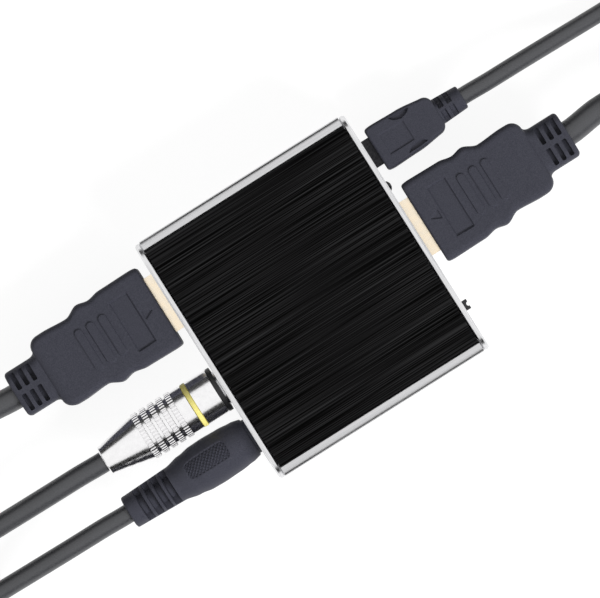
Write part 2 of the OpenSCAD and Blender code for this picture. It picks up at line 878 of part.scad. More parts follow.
function relief_outline(l, w, root_w) = concat(
    [for (i = [0:root_steps])
        let (a = 90 * i / root_steps)
        [relief_root_l * sin(a), w / 2 + (root_w - w) / 2 * (1 - sin(a))]],
    [for (i = [0:root_steps])
        let (a = 90 * i / root_steps)
        [l - relief_corner_r * (1 - sin(a)), w / 2 - relief_corner_r * (1 - cos(a))]]
);
module video_relief() {
    relief_l = video_relief_l + over;
    half = relief_outline(relief_l, video_relief_w, video_relief_w * relief_root_share);
    outline = concat(half, [for (i = [len(half) - 1:-1:0]) [half[i][0], -half[i][1]]]);
    slot_l = (video_relief_w - slot_web) / 2 - slot_side_wall;
    translate([video_grip_l - over, 0, 0])
        difference() {
            intersection() {
                translate([0, 0, -video_relief_h / 2])
                    linear_extrude(video_relief_h)
                        polygon(outline);
                along_x(-over, relief_l + 2 * over)
                    rounded_outline(video_relief_w * relief_root_share, video_relief_h,
                                    relief_edge_r);
            }
            for (row = [0:slot_rows - 1], sy = [-1, 1], sz = [-1, 1])
                translate([over + slot_first + row * slot_pitch - slot_w / 2,
                           sy * (slot_web + slot_l) / 2 - slot_l / 2,
                           sz == 1 ? video_relief_h / 2 - slot_depth : -video_relief_h / 2 - over])
                    cube([slot_w, slot_l, slot_depth + over]);
        }
}
module video_grip_top() {
    for (share = bar_place_shares)
        translate([video_grip_l * share, 0, video_grip_h / 2 - over])
            linear_extrude(over + bar_rise)
                union() {
                    square([bar_w, bar_l - bar_w], center = true);
                    for (sy = [-1, 1])
                        translate([0, sy * (bar_l - bar_w) / 2])
                            circle(r = bar_w / 2);
                }
}
module video_grip_cuts() {
    translate([video_grip_l * badge_place_share - badge_l / 2, -badge_w / 2,
               video_grip_h / 2 - badge_depth])
        cube([badge_l, badge_w, badge_depth + over]);
    translate([video_grip_l * mark_place_share, 0, video_grip_h / 2 - mark_depth])
        linear_extrude(mark_depth + over)
            polygon([[-mark_side / 2, 0], [mark_side / 2, mark_side / 2],
                     [mark_side / 2, -mark_side / 2]]);
}
module video_grip() {
    difference() {
        union() {
            skin(grip_rings(video_grip_l, video_grip_w, video_grip_h, grip_width_shares,
                            grip_front_r, grip_rear_r, grip_edge_r, grip_steps));
            video_relief();
            video_grip_top();
        }
        video_grip_cuts();
    }
}
module near_video_grip() {
    translate([video_grip_gap, 0, 0])
        video_grip();
}
// A far video plug is the near one, moved so that its grip starts where its frame does
module far_video(route) {
    at_far_end(video_grip_gap + video_grip_l + video_relief_l, route,
               video_grip_l + video_relief_l, video_z)
        translate([-video_grip_gap, 0, 0])
            children();
}
module video_cord_tube(route) {
    cord(route, video_grip_gap + video_grip_l + video_relief_l, video_z, video_cord_d);
}

module video_in_socket_shell() {
    color("silver")
        on_input(video_in_y, video_z)
            video_socket_shell();
}
module video_in_socket_tongue() {
    color([0.12, 0.12, 0.13])
        on_input(video_in_y, video_z)
            video_socket_tongue();
}
module video_out_socket_shell() {
    color("silver")
        on_output(video_out_y, video_z)
            video_socket_shell();
}
module video_out_socket_tongue() {
    color([0.12, 0.12, 0.13])
        on_output(video_out_y, video_z)
            video_socket_tongue();
}
module video_in_plug_grip() {
    color([0.25, 0.25, 0.29])
        on_input(video_in_y, video_z)
            near_video_grip();
}
module video_in_plug_shell() {
    color("wheat")
        on_input(video_in_y, video_z)
            video_plug_shell();
}
module video_in_plug_core() {
    color([0.12, 0.12, 0.13])
        on_input(video_in_y, video_z)
            video_plug_core();
}
module video_in_cord() {
    color([0.17, 0.17, 0.19])
        on_input(video_in_y, video_z)
            video_cord_tube(video_in_route);
}
module video_in_far_grip() {
    color([0.25, 0.25, 0.29])
        on_input(video_in_y, video_z)
            far_video(video_in_route)
                near_video_grip();
}
module video_in_far_shell() {
    color("wheat")
        on_input(video_in_y, video_z)
            far_video(video_in_route)
                video_plug_shell();
}
module video_in_far_core() {
    color([0.12, 0.12, 0.13])
        on_input(video_in_y, video_z)
            far_video(video_in_route)
                video_plug_core();
}
module video_out_plug_grip() {
    color([0.25, 0.25, 0.29])
        on_output(video_out_y, video_z)
            near_video_grip();
}
module video_out_plug_shell() {
    color("wheat")
        on_output(video_out_y, video_z)
            video_plug_shell();
}
module video_out_plug_core() {
    color([0.12, 0.12, 0.13])
        on_output(video_out_y, video_z)
            video_plug_core();
}
module video_out_cord() {
    color([0.17, 0.17, 0.19])
        on_output(video_out_y, video_z)
            video_cord_tube(video_out_route);
}
module video_out_far_grip() {
    color([0.25, 0.25, 0.29])
        on_output(video_out_y, video_z)
            far_video(video_out_route)
                near_video_grip();
}
module video_out_far_shell() {
    color("wheat")
        on_output(video_out_y, video_z)
            far_video(video_out_route)
                video_plug_shell();
}
module video_out_far_core() {
    color([0.12, 0.12, 0.13])
        on_output(video_out_y, video_z)
            far_video(video_out_route)
                video_plug_core();
}

// Power connectors

module power_socket_shell() {
    inner_w = power_shell_w + 2 * shell_clear;
    inner_h = power_shell_h + 2 * shell_clear;
    outer_w = inner_w + 2 * power_socket_wall;
    outer_h = inner_h + 2 * power_socket_wall;
    color("silver")
        on_input(power_y, power_z) {
            along_x(-socket_recess - power_socket_depth, power_socket_depth)
                difference() {
                    video_outline(outer_w, outer_h);
                    video_outline(inner_w, inner_h);
                }
            translate([-socket_recess - power_socket_depth, -inner_w / 2 + outer_w * shell_cut_share,
                       -power_axis_h])
                cube([power_socket_depth - plate_thick, inner_w - 2 * outer_w * shell_cut_share,
                      power_axis_h - inner_h / 2]);
        }
}
module power_socket_tongue() {
    inner_w = power_shell_w + 2 * shell_clear;
    inner_h = power_shell_h + 2 * shell_clear;
    back_x = -socket_recess - power_socket_depth;
    color([0.12, 0.12, 0.13])
        on_input(power_y, power_z)
            union() {
                along_x(back_x, power_wall)
                    video_outline(inner_w, inner_h);
                bar(back_x, power_socket_depth - video_tongue_setback, power_tongue_w, power_tongue_h);
            }
}
module power_plug_shell() {
    color([0.3, 0.3, 0.32])
        on_input(power_y, power_z)
            along_x(power_grip_gap - power_shell_l, power_shell_l)
                difference() {
                    video_outline(power_shell_w, power_shell_h);
                    video_outline(power_shell_w - 2 * power_wall, power_shell_h - 2 * power_wall);
                }
}
// Ringed strain relief behind a power grip of length l
module power_relief(l) {
    core_r = power_relief_r * relief_core_share;
    end_r = power_relief_r * relief_end_share;
    web_reach = 2 * (power_relief_r + over);
    pitch = relief_ring_w + relief_ring_gap;
    translate([l - over, 0, 0]) {
        rod(0, power_relief_l + over, core_r);
        difference() {
            turned([[0, 0], [power_relief_r, 0], [end_r, power_relief_l + over],
                    [0, power_relief_l + over]]);
            for (i = [0:floor((power_relief_l - relief_ring_w) / pitch) - 1])
                difference() {
                    rod(over + relief_ring_gap / 2 + i * pitch, relief_ring_gap, power_relief_r + over);
                    bar(0, power_relief_l + over, relief_web_w, web_reach);
                    bar(0, power_relief_l + over, web_reach, relief_web_w);
                }
        }
    }
}
module power_plug_grip() {
    color([0.22, 0.22, 0.25])
        on_input(power_y, power_z)
            translate([power_grip_gap, 0, 0])
                difference() {
                    union() {
                        skin(grip_rings(power_grip_l, power_grip_w, power_grip_h, power_width_shares,
                                        grip_front_r, power_rear_r, power_edge_r, power_steps));
                        power_relief(power_grip_l);
                    }
                    for (sy = [-1, 1])
                        translate([power_grip_l * dimple_place_share,
                                   sy * (power_grip_w / 2 + dimple_out),
                                   power_grip_h / 2 - dimple_depth])
                            cylinder(h = dimple_depth + over, r = dimple_r);
                    translate([window_start, -window_w / 2, power_grip_h / 2 - window_depth])
                        cube([window_l, window_w, window_depth + over]);
                }
}
module power_cord() {
    color([0.17, 0.17, 0.19])
        on_input(power_y, power_z)
            cord(power_route, power_grip_gap + power_grip_l + power_relief_l, power_z, power_cord_d);
}
module far_power() {
    at_far_end(power_grip_gap + power_grip_l + power_relief_l, power_route,
               host_grip_l + power_relief_l, power_z)
        children();
}
module power_far_grip() {
    color([0.22, 0.22, 0.25])
        on_input(power_y, power_z)
            far_power()
                union() {
                    skin(grip_rings(host_grip_l, host_grip_w, host_grip_h, host_width_shares,
                                    grip_front_r, power_rear_r, power_edge_r, power_steps));
                    power_relief(host_grip_l);
                }
}
module power_far_shell() {
    color("silver")
        on_input(power_y, power_z)
            far_power()
                difference() {
                    bar(-host_shell_l, host_shell_l, host_shell_w, host_shell_h);
                    bar(-host_shell_l - over, host_shell_l + 2 * over, host_shell_w - 2 * host_wall,
                        host_shell_h - 2 * host_wall);
                    for (sy = [-1, 1])
                        translate([-host_shell_l + host_hole_setback, sy * host_hole_y, 0])
                            bar(0, host_hole_l, host_hole_w, host_shell_h + 2 * over);
                }
}
module power_far_tongue() {
    inner_h = host_shell_h - 2 * host_wall;
    color("white")
        on_input(power_y, power_z)
            far_power()
                translate([-host_shell_l + host_wall, 0, -inner_h / 2])
                    translate([0, -host_shell_w / 2 + host_wall, 0])
                        cube([host_shell_l - host_wall, host_shell_w - 2 * host_wall, host_tongue_h]);
}

// Coaxial connectors

module coax_socket_body() {
    inner_r = coax_sleeve_r - coax_sleeve_wall;
    height = case_height - case_wall - coax_body_gap - board_top;
    color([0.1, 0.1, 0.11])
        on_output(coax_y, coax_z)
            difference() {
                union() {
                    translate([-plate_thick - coax_body_l, -coax_body_w / 2, -coax_axis_h])
                        cube([coax_body_l, coax_body_w, height]);
                    difference() {
                        rod(-plate_thick, plate_thick + coax_collar_out, coax_collar_r);
                        rod(-plate_thick - over, plate_thick + coax_collar_out + 2 * over,
                            coax_sleeve_r);
                    }
                    rod(-plate_thick, plate_thick + coax_sleeve_out, inner_r);
                }
                rod(-coax_bore_in, coax_bore_in + coax_sleeve_out + over, coax_pin_r + running_clear);
            }
}
module coax_socket_sleeve() {
    color("silver")
        on_output(coax_y, coax_z)
            difference() {
                rod(-plate_thick, plate_thick + coax_sleeve_out, coax_sleeve_r);
                rod(-plate_thick - over, plate_thick + coax_sleeve_out + 2 * over,
                    coax_sleeve_r - coax_sleeve_wall);
            }
}
// The plug's own frame starts at the front of its barrel
module knurled_ring(x0, width) {
    step = 360 / coax_ring_teeth;
    top = coax_tooth_top_share / 2;
    foot = coax_tooth_foot_share / 2;
    root_r = coax_ring_r - coax_tooth_depth;
    along_x(x0, width)
        polygon([
            for (i = [0:coax_ring_teeth - 1])
                each [for (corner = [[-foot, root_r], [-top, coax_ring_r], [top, coax_ring_r],
                                     [foot, root_r]])
                         corner[1] * [cos((i + corner[0]) * step), sin((i + corner[0]) * step)]]
        ]);
}
module coax_barrel() {
    bore_l = coax_seat_x + coax_insulator_l;
    grip_x = coax_front_l;
    tail_x = coax_front_l + coax_grip_l;
    end_x = tail_x + coax_tail_l;
    pitch = coax_grip_l / coax_rings;
    groove = pitch * coax_groove_share;
    difference() {
        union() {
            turned([
                [0, coax_ring_front], [coax_barrel_r, coax_ring_front],
                [coax_barrel_r, tail_x], [coax_tail_r, end_x - coax_tail_lip],
                [coax_tail_r, end_x], [0, end_x]
            ]);
            for (i = [0:coax_rings - 1])
                knurled_ring(grip_x + groove / 2 + i * pitch, pitch - groove);
        }
        rod(0, bore_l, coax_sleeve_r + running_clear);
        rod(0, bore_l + coax_insulator_l, coax_pin_root_r);
        difference() {
            rod(coax_band_place, coax_band_w, coax_barrel_r + over);
            rod(0, coax_front_l, coax_barrel_r - coax_band_depth);
        }
        for (i = [1:coax_rings - 1])
            difference() {
                rod(grip_x + i * pitch - groove / 2, groove, coax_ring_r + over);
                rod(grip_x, coax_grip_l, coax_barrel_r - coax_groove_depth / 2);
            }
    }
}
module coax_band_ring() {
    difference() {
        rod(coax_band_place, coax_band_w, coax_barrel_r + coax_band_rise);
        rod(0, coax_front_l, coax_barrel_r - coax_band_depth);
    }
}
module coax_core() {
    difference() {
        rod(0, coax_ring_front, coax_barrel_r);
        rod(-over, coax_ring_front + 2 * over, coax_sleeve_r + running_clear);
    }
    difference() {
        rod(coax_seat_x, coax_insulator_l, coax_sleeve_r + running_clear);
        rod(coax_seat_x - over, coax_insulator_l + 2 * over, coax_pin_root_r);
    }
}
module coax_pin() {
    end_x = coax_seat_x + 2 * coax_insulator_l;
    turned([
        [0, -coax_pin_out], [coax_pin_r * pin_tip_share, -coax_pin_out],
        [coax_pin_r, pin_tip_l - coax_pin_out], [coax_pin_r, coax_seat_x],
        [coax_pin_root_r, coax_seat_x], [coax_pin_root_r, end_x], [0, end_x]
    ]);
}
module near_coax() {
    on_output(coax_y, coax_z)
        translate([coax_gap, 0, 0])
            children();
}
module far_coax() {
    on_output(coax_y, coax_z)
        at_far_end(coax_gap + coax_plug_l, coax_route, coax_plug_l, coax_z)
            children();
}
module coax_plug_barrel() {
    color("gainsboro")
        near_coax()
            coax_barrel();
}
module coax_plug_band() {
    color([0.93, 0.88, 0.45])
        near_coax()
            coax_band_ring();
}
module coax_plug_core() {
    color([0.1, 0.1, 0.11])
        near_coax()
            coax_core();
}
module coax_plug_pin() {
    color("gold")
        near_coax()
            coax_pin();
}
module coax_cord() {
    color([0.17, 0.17, 0.19])
        on_output(coax_y, coax_z)
            cord(coax_route, coax_gap + coax_plug_l, coax_z, coax_cord_d);
}
module coax_far_barrel() {
    color("gainsboro")
        far_coax()
            coax_barrel();
}
module coax_far_band() {
    color([0.93, 0.88, 0.45])
        far_coax()
            coax_band_ring();
}
module coax_far_core() {
    color([0.1, 0.1, 0.11])
        far_coax()
            coax_core();
}
module coax_far_pin() {
    color("gold")
        far_coax()
            coax_pin();
}

// Headphone connectors

module aux_socket_body() {
    color([0.1, 0.1, 0.11])
        on_output(aux_y, aux_z)
            difference() {
                union() {
                    translate([-plate_thick - aux_body_l, -aux_body_w / 2, -aux_axis_h])
                        cube([aux_body_l, aux_body_w, 2 * aux_axis_h]);
                    rod(-plate_thick, plate_thick, aux_nose_r);
                }
                rod(aux_gap - aux_pin_l - aux_bore_end_gap, aux_pin_l + aux_bore_end_gap,
                    aux_pin_r + running_clear);
            }
}
module aux_grip() {
    relief_end = aux_grip_l + aux_relief_l;
    root_r = aux_grip_r * aux_relief_root_share;
    pitch = (aux_relief_l - aux_collar_l) / aux_grooves;
    difference() {
        turned(concat(
            [[0, 0], [aux_grip_r * aux_radius_shares[0][1] - aux_front_r, 0]],
            [for (i = [0:aux_grip_points])
                let (x = aux_front_r + (aux_grip_l - aux_front_r) * i / aux_grip_points)
                [aux_grip_r * value_at(aux_radius_shares, x / aux_grip_l), x]],
            [[aux_collar_r, relief_end], [0, relief_end]]
        ));
        for (i = [0:aux_grooves - 1])
            translate([aux_grip_l + pitch / 2 + i * pitch - aux_groove_w / 2, 0, 0])
                difference() {
                    rod(0, aux_groove_w, root_r + over);
                    rod(-over, aux_groove_w + 2 * over, aux_core_r);
                    bar(-over, aux_groove_w + 2 * over, 3 * root_r, aux_web_w);
                }
    }
}
module aux_pin() {
    neck_x = aux_tip_l - aux_pin_l;
    turned([
        [0, -aux_pin_l], [aux_tip_end_r, -aux_pin_l],
        [aux_tip_ball_r, aux_tip_l / 3 - aux_pin_l],
        [aux_tip_neck_r, 2 * aux_tip_l / 3 - aux_pin_l],
        [aux_pin_r, neck_x], [aux_pin_r, 0], [0, 0]
    ]);
}
module near_aux() {
    on_output(aux_y, aux_z)
        translate([aux_gap, 0, 0])
            children();
}
module far_aux() {
    on_output(aux_y, aux_z)
        at_far_end(aux_gap + aux_grip_l + aux_relief_l, aux_route, aux_grip_l + aux_relief_l, aux_z)
            children();
}
module aux_plug_grip() {
    color([0.22, 0.22, 0.26])
        near_aux()
            aux_grip();
}
module aux_plug_pin() {
    color("gold")
        near_aux()
            aux_pin();
}
module aux_cord() {
    color([0.17, 0.17, 0.19])
        on_output(aux_y, aux_z)
            cord(aux_route, aux_gap + aux_grip_l + aux_relief_l, aux_z, aux_cord_d);
}
module aux_far_grip() {
    color([0.22, 0.22, 0.26])
        far_aux()
            aux_grip();
}
module aux_far_pin() {
    color("gold")
        far_aux()
            aux_pin();
}

// Slide switch and push button

module switch_frame() {
    height = 2 * switch_axis_h;
    color("silver")
        on_input(switch_y, switch_z)
            translate([-plate_thick - frame_l, 0, 0])
                difference() {
                    bar(0, frame_l, frame_w, height);
                    bar(frame_wall, frame_l - 2 * frame_wall, frame_w - 2 * frame_wall,
                        height - 2 * frame_wall);
                    bar(frame_l - frame_wall - over, frame_wall + 2 * over, knob_slot_w, knob_slot_h);
                }
}
module switch_knob() {
    foot_x = -plate_thick - frame_wall - knob_clear - knob_foot_l;
    color([0.1, 0.1, 0.11])
        on_input(switch_y, switch_z)
            difference() {
                union() {
                    bar(foot_x, knob_foot_l, knob_foot_w, knob_foot_h);
                    bar(foot_x, knob_out - foot_x, knob_w, knob_h);
                }
                translate([knob_out, 0, -knob_h])
                    cylinder(h = 2 * knob_h, r = knob_notch_r);
            }
}
module button_base() {
    color([0.12, 0.12, 0.13])
        on_input(button_y, button_z)
            difference() {
                translate([-plate_thick - base_front_gap - base_l, -base_w / 2, -button_axis_h])
                    cube([base_l, base_w, base_h]);
                rod(-plate_thick - base_front_gap - stem_l - stem_gap, stem_l + stem_gap + over,
                    stem_r + button_clear);
            }
}
module button_cap() {
    dome_r = (button_r * button_r + button_out * button_out) / (2 * button_out);
    back_x = cap_back_gap - plate_thick - base_front_gap;
    color([0.06, 0.06, 0.07])
        on_input(button_y, button_z)
            union() {
                rod(back_x - stem_l, stem_l + over, stem_r);
                rod(back_x, -back_x, button_r);
                intersection() {
                    rod(-over, over + button_out, button_r);
                    translate([button_out - dome_r, 0, 0])
                        rotate([0, 90, 0])
                            sphere(r = dome_r);
                }
            }
}

case_shell();
top_panel();
bottom_panel();
end_plate_in();
end_plate_out();
end_plate_screws();
circuit_board();
video_chip();
audio_chip();
capacitors();
inductor();
crystal();
video_in_socket_shell();
video_in_socket_tongue();
video_out_socket_shell();
video_out_socket_tongue();
power_socket_shell();
power_socket_tongue();
coax_socket_body();
coax_socket_sleeve();
aux_socket_body();
switch_frame();
switch_knob();
button_base();
button_cap();
video_in_plug_grip();
video_in_plug_shell();
video_in_plug_core();
video_in_cord();
video_in_far_grip();
video_in_far_shell();
video_in_far_core();
video_out_plug_grip();
video_out_plug_shell();
video_out_plug_core();
video_out_cord();
video_out_far_grip();
video_out_far_shell();
video_out_far_core();
power_plug_grip();
power_plug_shell();
power_cord();
power_far_grip();
power_far_shell();
power_far_tongue();
coax_plug_barrel();
coax_plug_band();
coax_plug_core();
coax_plug_pin();
coax_cord();
coax_far_barrel();
coax_far_band();
coax_far_core();
coax_far_pin();
aux_plug_grip();
aux_plug_pin();
aux_cord();
aux_far_grip();
aux_far_pin();
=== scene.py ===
import json
import math

import bmesh
import bpy
from mathutils import Matrix, Vector


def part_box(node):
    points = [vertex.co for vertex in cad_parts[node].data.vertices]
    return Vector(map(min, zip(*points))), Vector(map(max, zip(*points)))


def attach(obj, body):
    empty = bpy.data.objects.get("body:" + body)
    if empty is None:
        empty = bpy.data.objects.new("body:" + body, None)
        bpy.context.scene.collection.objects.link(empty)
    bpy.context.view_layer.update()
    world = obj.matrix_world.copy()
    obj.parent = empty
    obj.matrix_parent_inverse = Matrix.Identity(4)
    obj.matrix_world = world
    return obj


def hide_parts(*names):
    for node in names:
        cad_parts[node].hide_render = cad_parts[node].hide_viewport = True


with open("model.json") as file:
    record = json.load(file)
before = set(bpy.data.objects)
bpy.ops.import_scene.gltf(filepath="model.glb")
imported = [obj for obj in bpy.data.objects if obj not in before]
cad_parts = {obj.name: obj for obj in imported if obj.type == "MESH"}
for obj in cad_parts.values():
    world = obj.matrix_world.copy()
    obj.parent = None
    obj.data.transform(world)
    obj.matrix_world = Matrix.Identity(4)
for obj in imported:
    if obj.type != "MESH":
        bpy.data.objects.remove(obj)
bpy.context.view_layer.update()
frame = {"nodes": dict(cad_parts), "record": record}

# Everything is in metres, in the frame of the CAD model
MM = 0.001

# Camera: a long lens almost straight above, turned about the vertical
PICTURE_WIDTH = 133.9 * MM
LENS = 400
SENSOR = 36
AIM = Vector((-2.6 * MM, 1.1 * MM, 10 * MM))
TURN = math.radians(-32.2)
LEAN_X = math.radians(1)
LEAN_Y = math.radians(-1.2)
CLIP_START, CLIP_END = 0.05, 20

# Studio: a white floor and sky, one soft lamp, and a dark card on each side of the part
FLOOR_HALF = 3.0
FLOOR_DROP = 0.05 * MM
FLOOR_GREY = 0.22
FLOOR_ROUGHNESS = 0.9
FLOOR_SPECULAR = 0.1
FLOOR_LIFT = 0.9
SKY_LIGHT = 0.38
LAMP_PLACE = (0.35, -1.1, 0.9)
LAMP_SIZE = (0.6, 0.6)
LAMP_WATTS = 22
CARD_HALF_L = 0.6
CARD_SIDE = 0.4
CARD_LOW = 0.001
CARD_HIGH = 0.27
CARD_GREY = 0.04

# Case: its shoulders stand a little wider than the plain solid's
CASE_NODES = ("case_shell", "end_plate_in", "end_plate_out")
CASE_HALF_W = 30.6 * MM
CASE_HALF_H = 10 * MM
CASE_WALL = 1.8 * MM
PANEL_HALF_W = 28.21 * MM
PANEL_SEAT = 0.8 * MM
LIP_R = 0.6 * MM
LIP_TOP = 0.06 * MM
SHOULDER_R = 2.5 * MM
SHOULDER_STEPS = 8
SHOULDER_EDGE_R = 0.35 * MM
SHOULDER_EDGE_SHARE = 0.6
SHOULDER_EDGE_STEPS = 5
PLATE_CORNER_R = 5.2 * MM
PLATE_EDGE = 0.4 * MM
PLATE_FACE_GAP = 0.005 * MM
HOLE_MARGIN = 1.2 * MM

# Shared by all pieces
CUT_OVER = 1.8 * MM
BEVEL = 0.04 * MM
BEVEL_SEGMENTS = 3
WELD = 0.001 * MM
SHARP = math.radians(35)
CORNER_STEPS = 10
SOFT_EDGE = 0.22 * MM
GROOVE_SHARPNESS = 1.5
RELIEF_SINK = 0.5 * MM

# Video plug: half width along the grip as shares of the front half width
VIDEO_L = 29.6 * MM
VIDEO_W = 20.3 * MM
VIDEO_H = 10.6 * MM
VIDEO_WIDTH_SHARES = [
    (0, 0.985), (0.06, 1), (0.33, 0.99), (0.44, 0.935), (0.53, 0.985),
    (0.655, 0.845), (0.86, 0.88), (1, 0.87),
]
VIDEO_FRONT_R = 0.6 * MM
VIDEO_REAR_R = 2.5 * MM
VIDEO_REAR_TOP_R = 1.1 * MM
VIDEO_SIDE_R = 1.5 * MM
VIDEO_STEP = 0.19 * MM
BAR_PLACE_SHARES = (0.415, 0.52, 0.625)
BAR_L = 10.4 * MM
BAR_W = 2 * MM
BAR_RISE = 0.32 * MM
BADGE_PLACE_SHARE = 0.235
BADGE_L = 4.4 * MM
BADGE_W = 12.6 * MM
BADGE_DEPTH = 0.45 * MM
MARK_PLACE_SHARE = 0.1
MARK_SIDE = 2.2 * MM
MARK_DEPTH = 0.3 * MM
MARK_WIDENING = 0.45
MARK_NARROWING = 0.9
VIDEO_RELIEF_L = 8.2 * MM
VIDEO_RELIEF_W = 11.2 * MM
VIDEO_RELIEF_H = 9 * MM
VIDEO_ROOT_L = 1.6 * MM
VIDEO_ROOT_SHARE = 1.16
VIDEO_RELIEF_END_R = 0.9 * MM
VIDEO_RELIEF_SIDE_R = 2.6 * MM
VIDEO_RELIEF_STEP = 0.5 * MM
VIDEO_RELIEF_COLUMNS = 8
SLOT_W = 1.1 * MM
SLOT_WEB = 1.2 * MM
SLOT_WALL = 0.85 * MM
SLOT_DEPTH = 1.9 * MM
SLOT_FIRST = 2.5 * MM
SLOT_PITCH = 2 * MM
SLOT_ROWS = 3
SLOT_ROUND_SHARE = 0.3
SLOT_SIDES = 24

# Power plugs
POWER_L = 16.3 * MM
POWER_W = 10.8 * MM
POWER_H = 7.4 * MM
POWER_WIDTH_SHARES = [(0, 0.97), (0.1, 1), (0.5, 0.97), (1, 0.82)]
HOST_L = 24 * MM
HOST_W = 15.6 * MM
HOST_H = 8 * MM
HOST_WIDTH_SHARES = [(0, 1), (0.3, 1), (0.72, 0.86), (1, 0.8)]
POWER_REAR_R = 1.8 * MM
POWER_SIDE_R = 0.8 * MM
DIMPLE_R = 3 * MM
DIMPLE_DEPTH = 0.65 * MM
DIMPLE_OUT = 0.8 * MM
DIMPLE_PLACE_SHARE = 0.53
WINDOW_START = 2.3 * MM
WINDOW_L = 6.2 * MM
WINDOW_W = 5 * MM
WINDOW_DEPTH = 0.3 * MM
POWER_RELIEF_L = 6.4 * MM
POWER_RELIEF_R = 3.1 * MM
POWER_RELIEF_END_SHARE = 0.9
POWER_RELIEF_CORE_SHARE = 0.68
POWER_RELIEF_END_R = 0.4 * MM
POWER_RELIEF_STEP = 0.14 * MM
POWER_RELIEF_SIDES = 72
RING_GAPS = 2
RING_W = 1.0 * MM
RING_GAP = 1.15 * MM
RING_WEB = 1.0 * MM

# Coaxial plug
BARREL_R = 5.43 * MM
BARREL_FRONT = 0.9 * MM
BARREL_FRONT_L = 10 * MM
BARREL_GRIP_L = 10.8 * MM
BARREL_TAIL_L = 9.8 * MM
BARREL_TAIL_R = 3.55 * MM
BARREL_TAIL_LIP = 0.7 * MM
BARREL_BORE_R = 4.2 * MM
BARREL_BORE_L = 9.8 * MM
BARREL_AXIS_R = 1 * MM
BARREL_SIDES = 128
BAND_PLACE = 6.5 * MM
BAND_W = 1 * MM
BAND_DEPTH = 0.25 * MM
BAND_SLOPE = 0.15 * MM
TAIL_EDGE_L = 0.3 * MM
TAIL_EDGE_DEPTH = 0.06 * MM
KNURL_RINGS = 5
KNURL_TEETH = 44
KNURL_R = 5.68 * MM
KNURL_DEPTH = 0.3 * MM
KNURL_GROOVE_SHARE = 0.32
KNURL_CUT_SHARE = 0.45
KNURL_STEP = 0.1 * MM
POINTS_FOR_EACH_TOOTH = 8
GROOVE_R = 5.13 * MM
EDGE_R = 0.25 * MM

# Headphone plug
AUX_L = 20 * MM
AUX_R = 5.55 * MM
AUX_RADIUS_SHARES = [
    (0, 0.84), (0.12, 0.92), (0.28, 0.975), (0.5, 1), (0.64, 0.985), (0.8, 0.9), (1, 0.77),
]
AUX_FRONT_R = 0.5 * MM
AUX_LIP_L = 0.65 * MM
AUX_LIP_SHARE = 0.76
AUX_LIP_GAP = 0.01 * MM
AUX_STEP = 0.11 * MM
AUX_SIDES = 216
AUX_RELIEF_L = 12 * MM
AUX_RELIEF_END_R = 0.5 * MM
AUX_RELIEF_STEP = 0.12 * MM
AUX_COLLAR_L = 2.7 * MM
AUX_COLLAR_R = 3.85 * MM
AUX_CORE_R = 2.35 * MM
AUX_GROOVES = 4
AUX_GROOVE_W = 1.45 * MM
AUX_WEB_W = 2.2 * MM
PATCH_START = 5.7 * MM
PATCH_L = 10.4 * MM
PATCH_HALF_W = 2.15 * MM
PATCH_CORNER_R = 1.1 * MM
PATCH_SIDE = -0.75 * MM
PATCH_PITCH = 0.95 * MM
PATCH_DEPTH = 0.32 * MM
PATCH_SHARPNESS = 1.6
PATCH_BASE_SHARE = 0.15

# Cord routes, as part.scad has them: distance from the strain relief, side, height
# above the floor, in millimetres
ROUTES = {
    "video_in_cord": [
        (0, 0, 10.3), (9, 0.9, 10.3), (46, 1.4, 2.9), (76, -1, 2.9), (104, -3, 5.3),
        (112, -3, 5.3),
    ],
    "video_out_cord": [
        (0, 0, 10.3), (8, -0.6, 10.3), (46, -1, 2.9), (76, 0, 2.9), (104, 1, 5.3),
        (112, 1, 5.3),
    ],
    "power_cord": [
        (0, 0, 8.65), (8, -0.2, 8.65), (44, -0.4, 2), (84, 0.6, 2), (112, 0, 4), (120, 0, 4),
    ],
    "coax_cord": [
        (0, 0, 11.4), (8, -0.2, 11.4), (50, -0.6, 2.4), (86, 0.4, 2.4), (112, 0, 5.8),
        (120, 0, 5.8),
    ],
    "aux_cord": [
        (0, 0, 10.1), (8, -0.2, 10.1), (46, -0.6, 2.2), (86, 0.6, 2.2), (112, 0.8, 5.55),
        (120, 0.8, 5.55),
    ],
}
CORD_DIAMETERS = {
    "video_in_cord": 5.8 * MM, "video_out_cord": 5.8 * MM, "power_cord": 4 * MM,
    "coax_cord": 4.8 * MM, "aux_cord": 4.4 * MM,
}
CORD_STEP = 1.6 * MM
CORD_ROUNDNESS = 10


# Curves and shares

def ease(share):
    return share * share * (3 - 2 * share)


def value_at(table, place):
    """Eased value at a place in a table of (place, value)."""
    for (start, low), (end, high) in zip(table, table[1:]):
        if place <= end:
            return low + (high - low) * ease(max(0, (place - start) / (end - start)))
    return table[-1][1]


def soft_step(distance):
    """1 well inside an outline, 0 outside it, eased over SOFT_EDGE. Distance is positive inside."""
    return ease(min(1, max(0, distance / SOFT_EDGE + 0.5)))


def round_inset(distance, radius):
    """How far a rounded end of that radius draws in, at that distance from the end."""
    if distance >= radius:
        return 0
    return radius - math.sqrt(max(0, radius ** 2 - (radius - distance) ** 2))


def spread(start, end, step):
    """Evenly spaced places from start to end, about a step apart."""
    count = max(1, math.ceil((end - start) / step))
    return [start + (end - start) * i / count for i in range(count + 1)]


def rounded_spread(length, front_r, rear_r, step, turns=7):
    """Places along a body, closer together in its rounded ends."""
    front = [front_r * (1 - math.cos(math.pi / 2 * i / turns)) for i in range(turns)]
    rear = [length - rear_r * (1 - math.sin(math.pi / 2 * i / turns)) for i in range(1, turns + 1)]
    return front + spread(front_r, length - rear_r, step) + rear


# Meshes

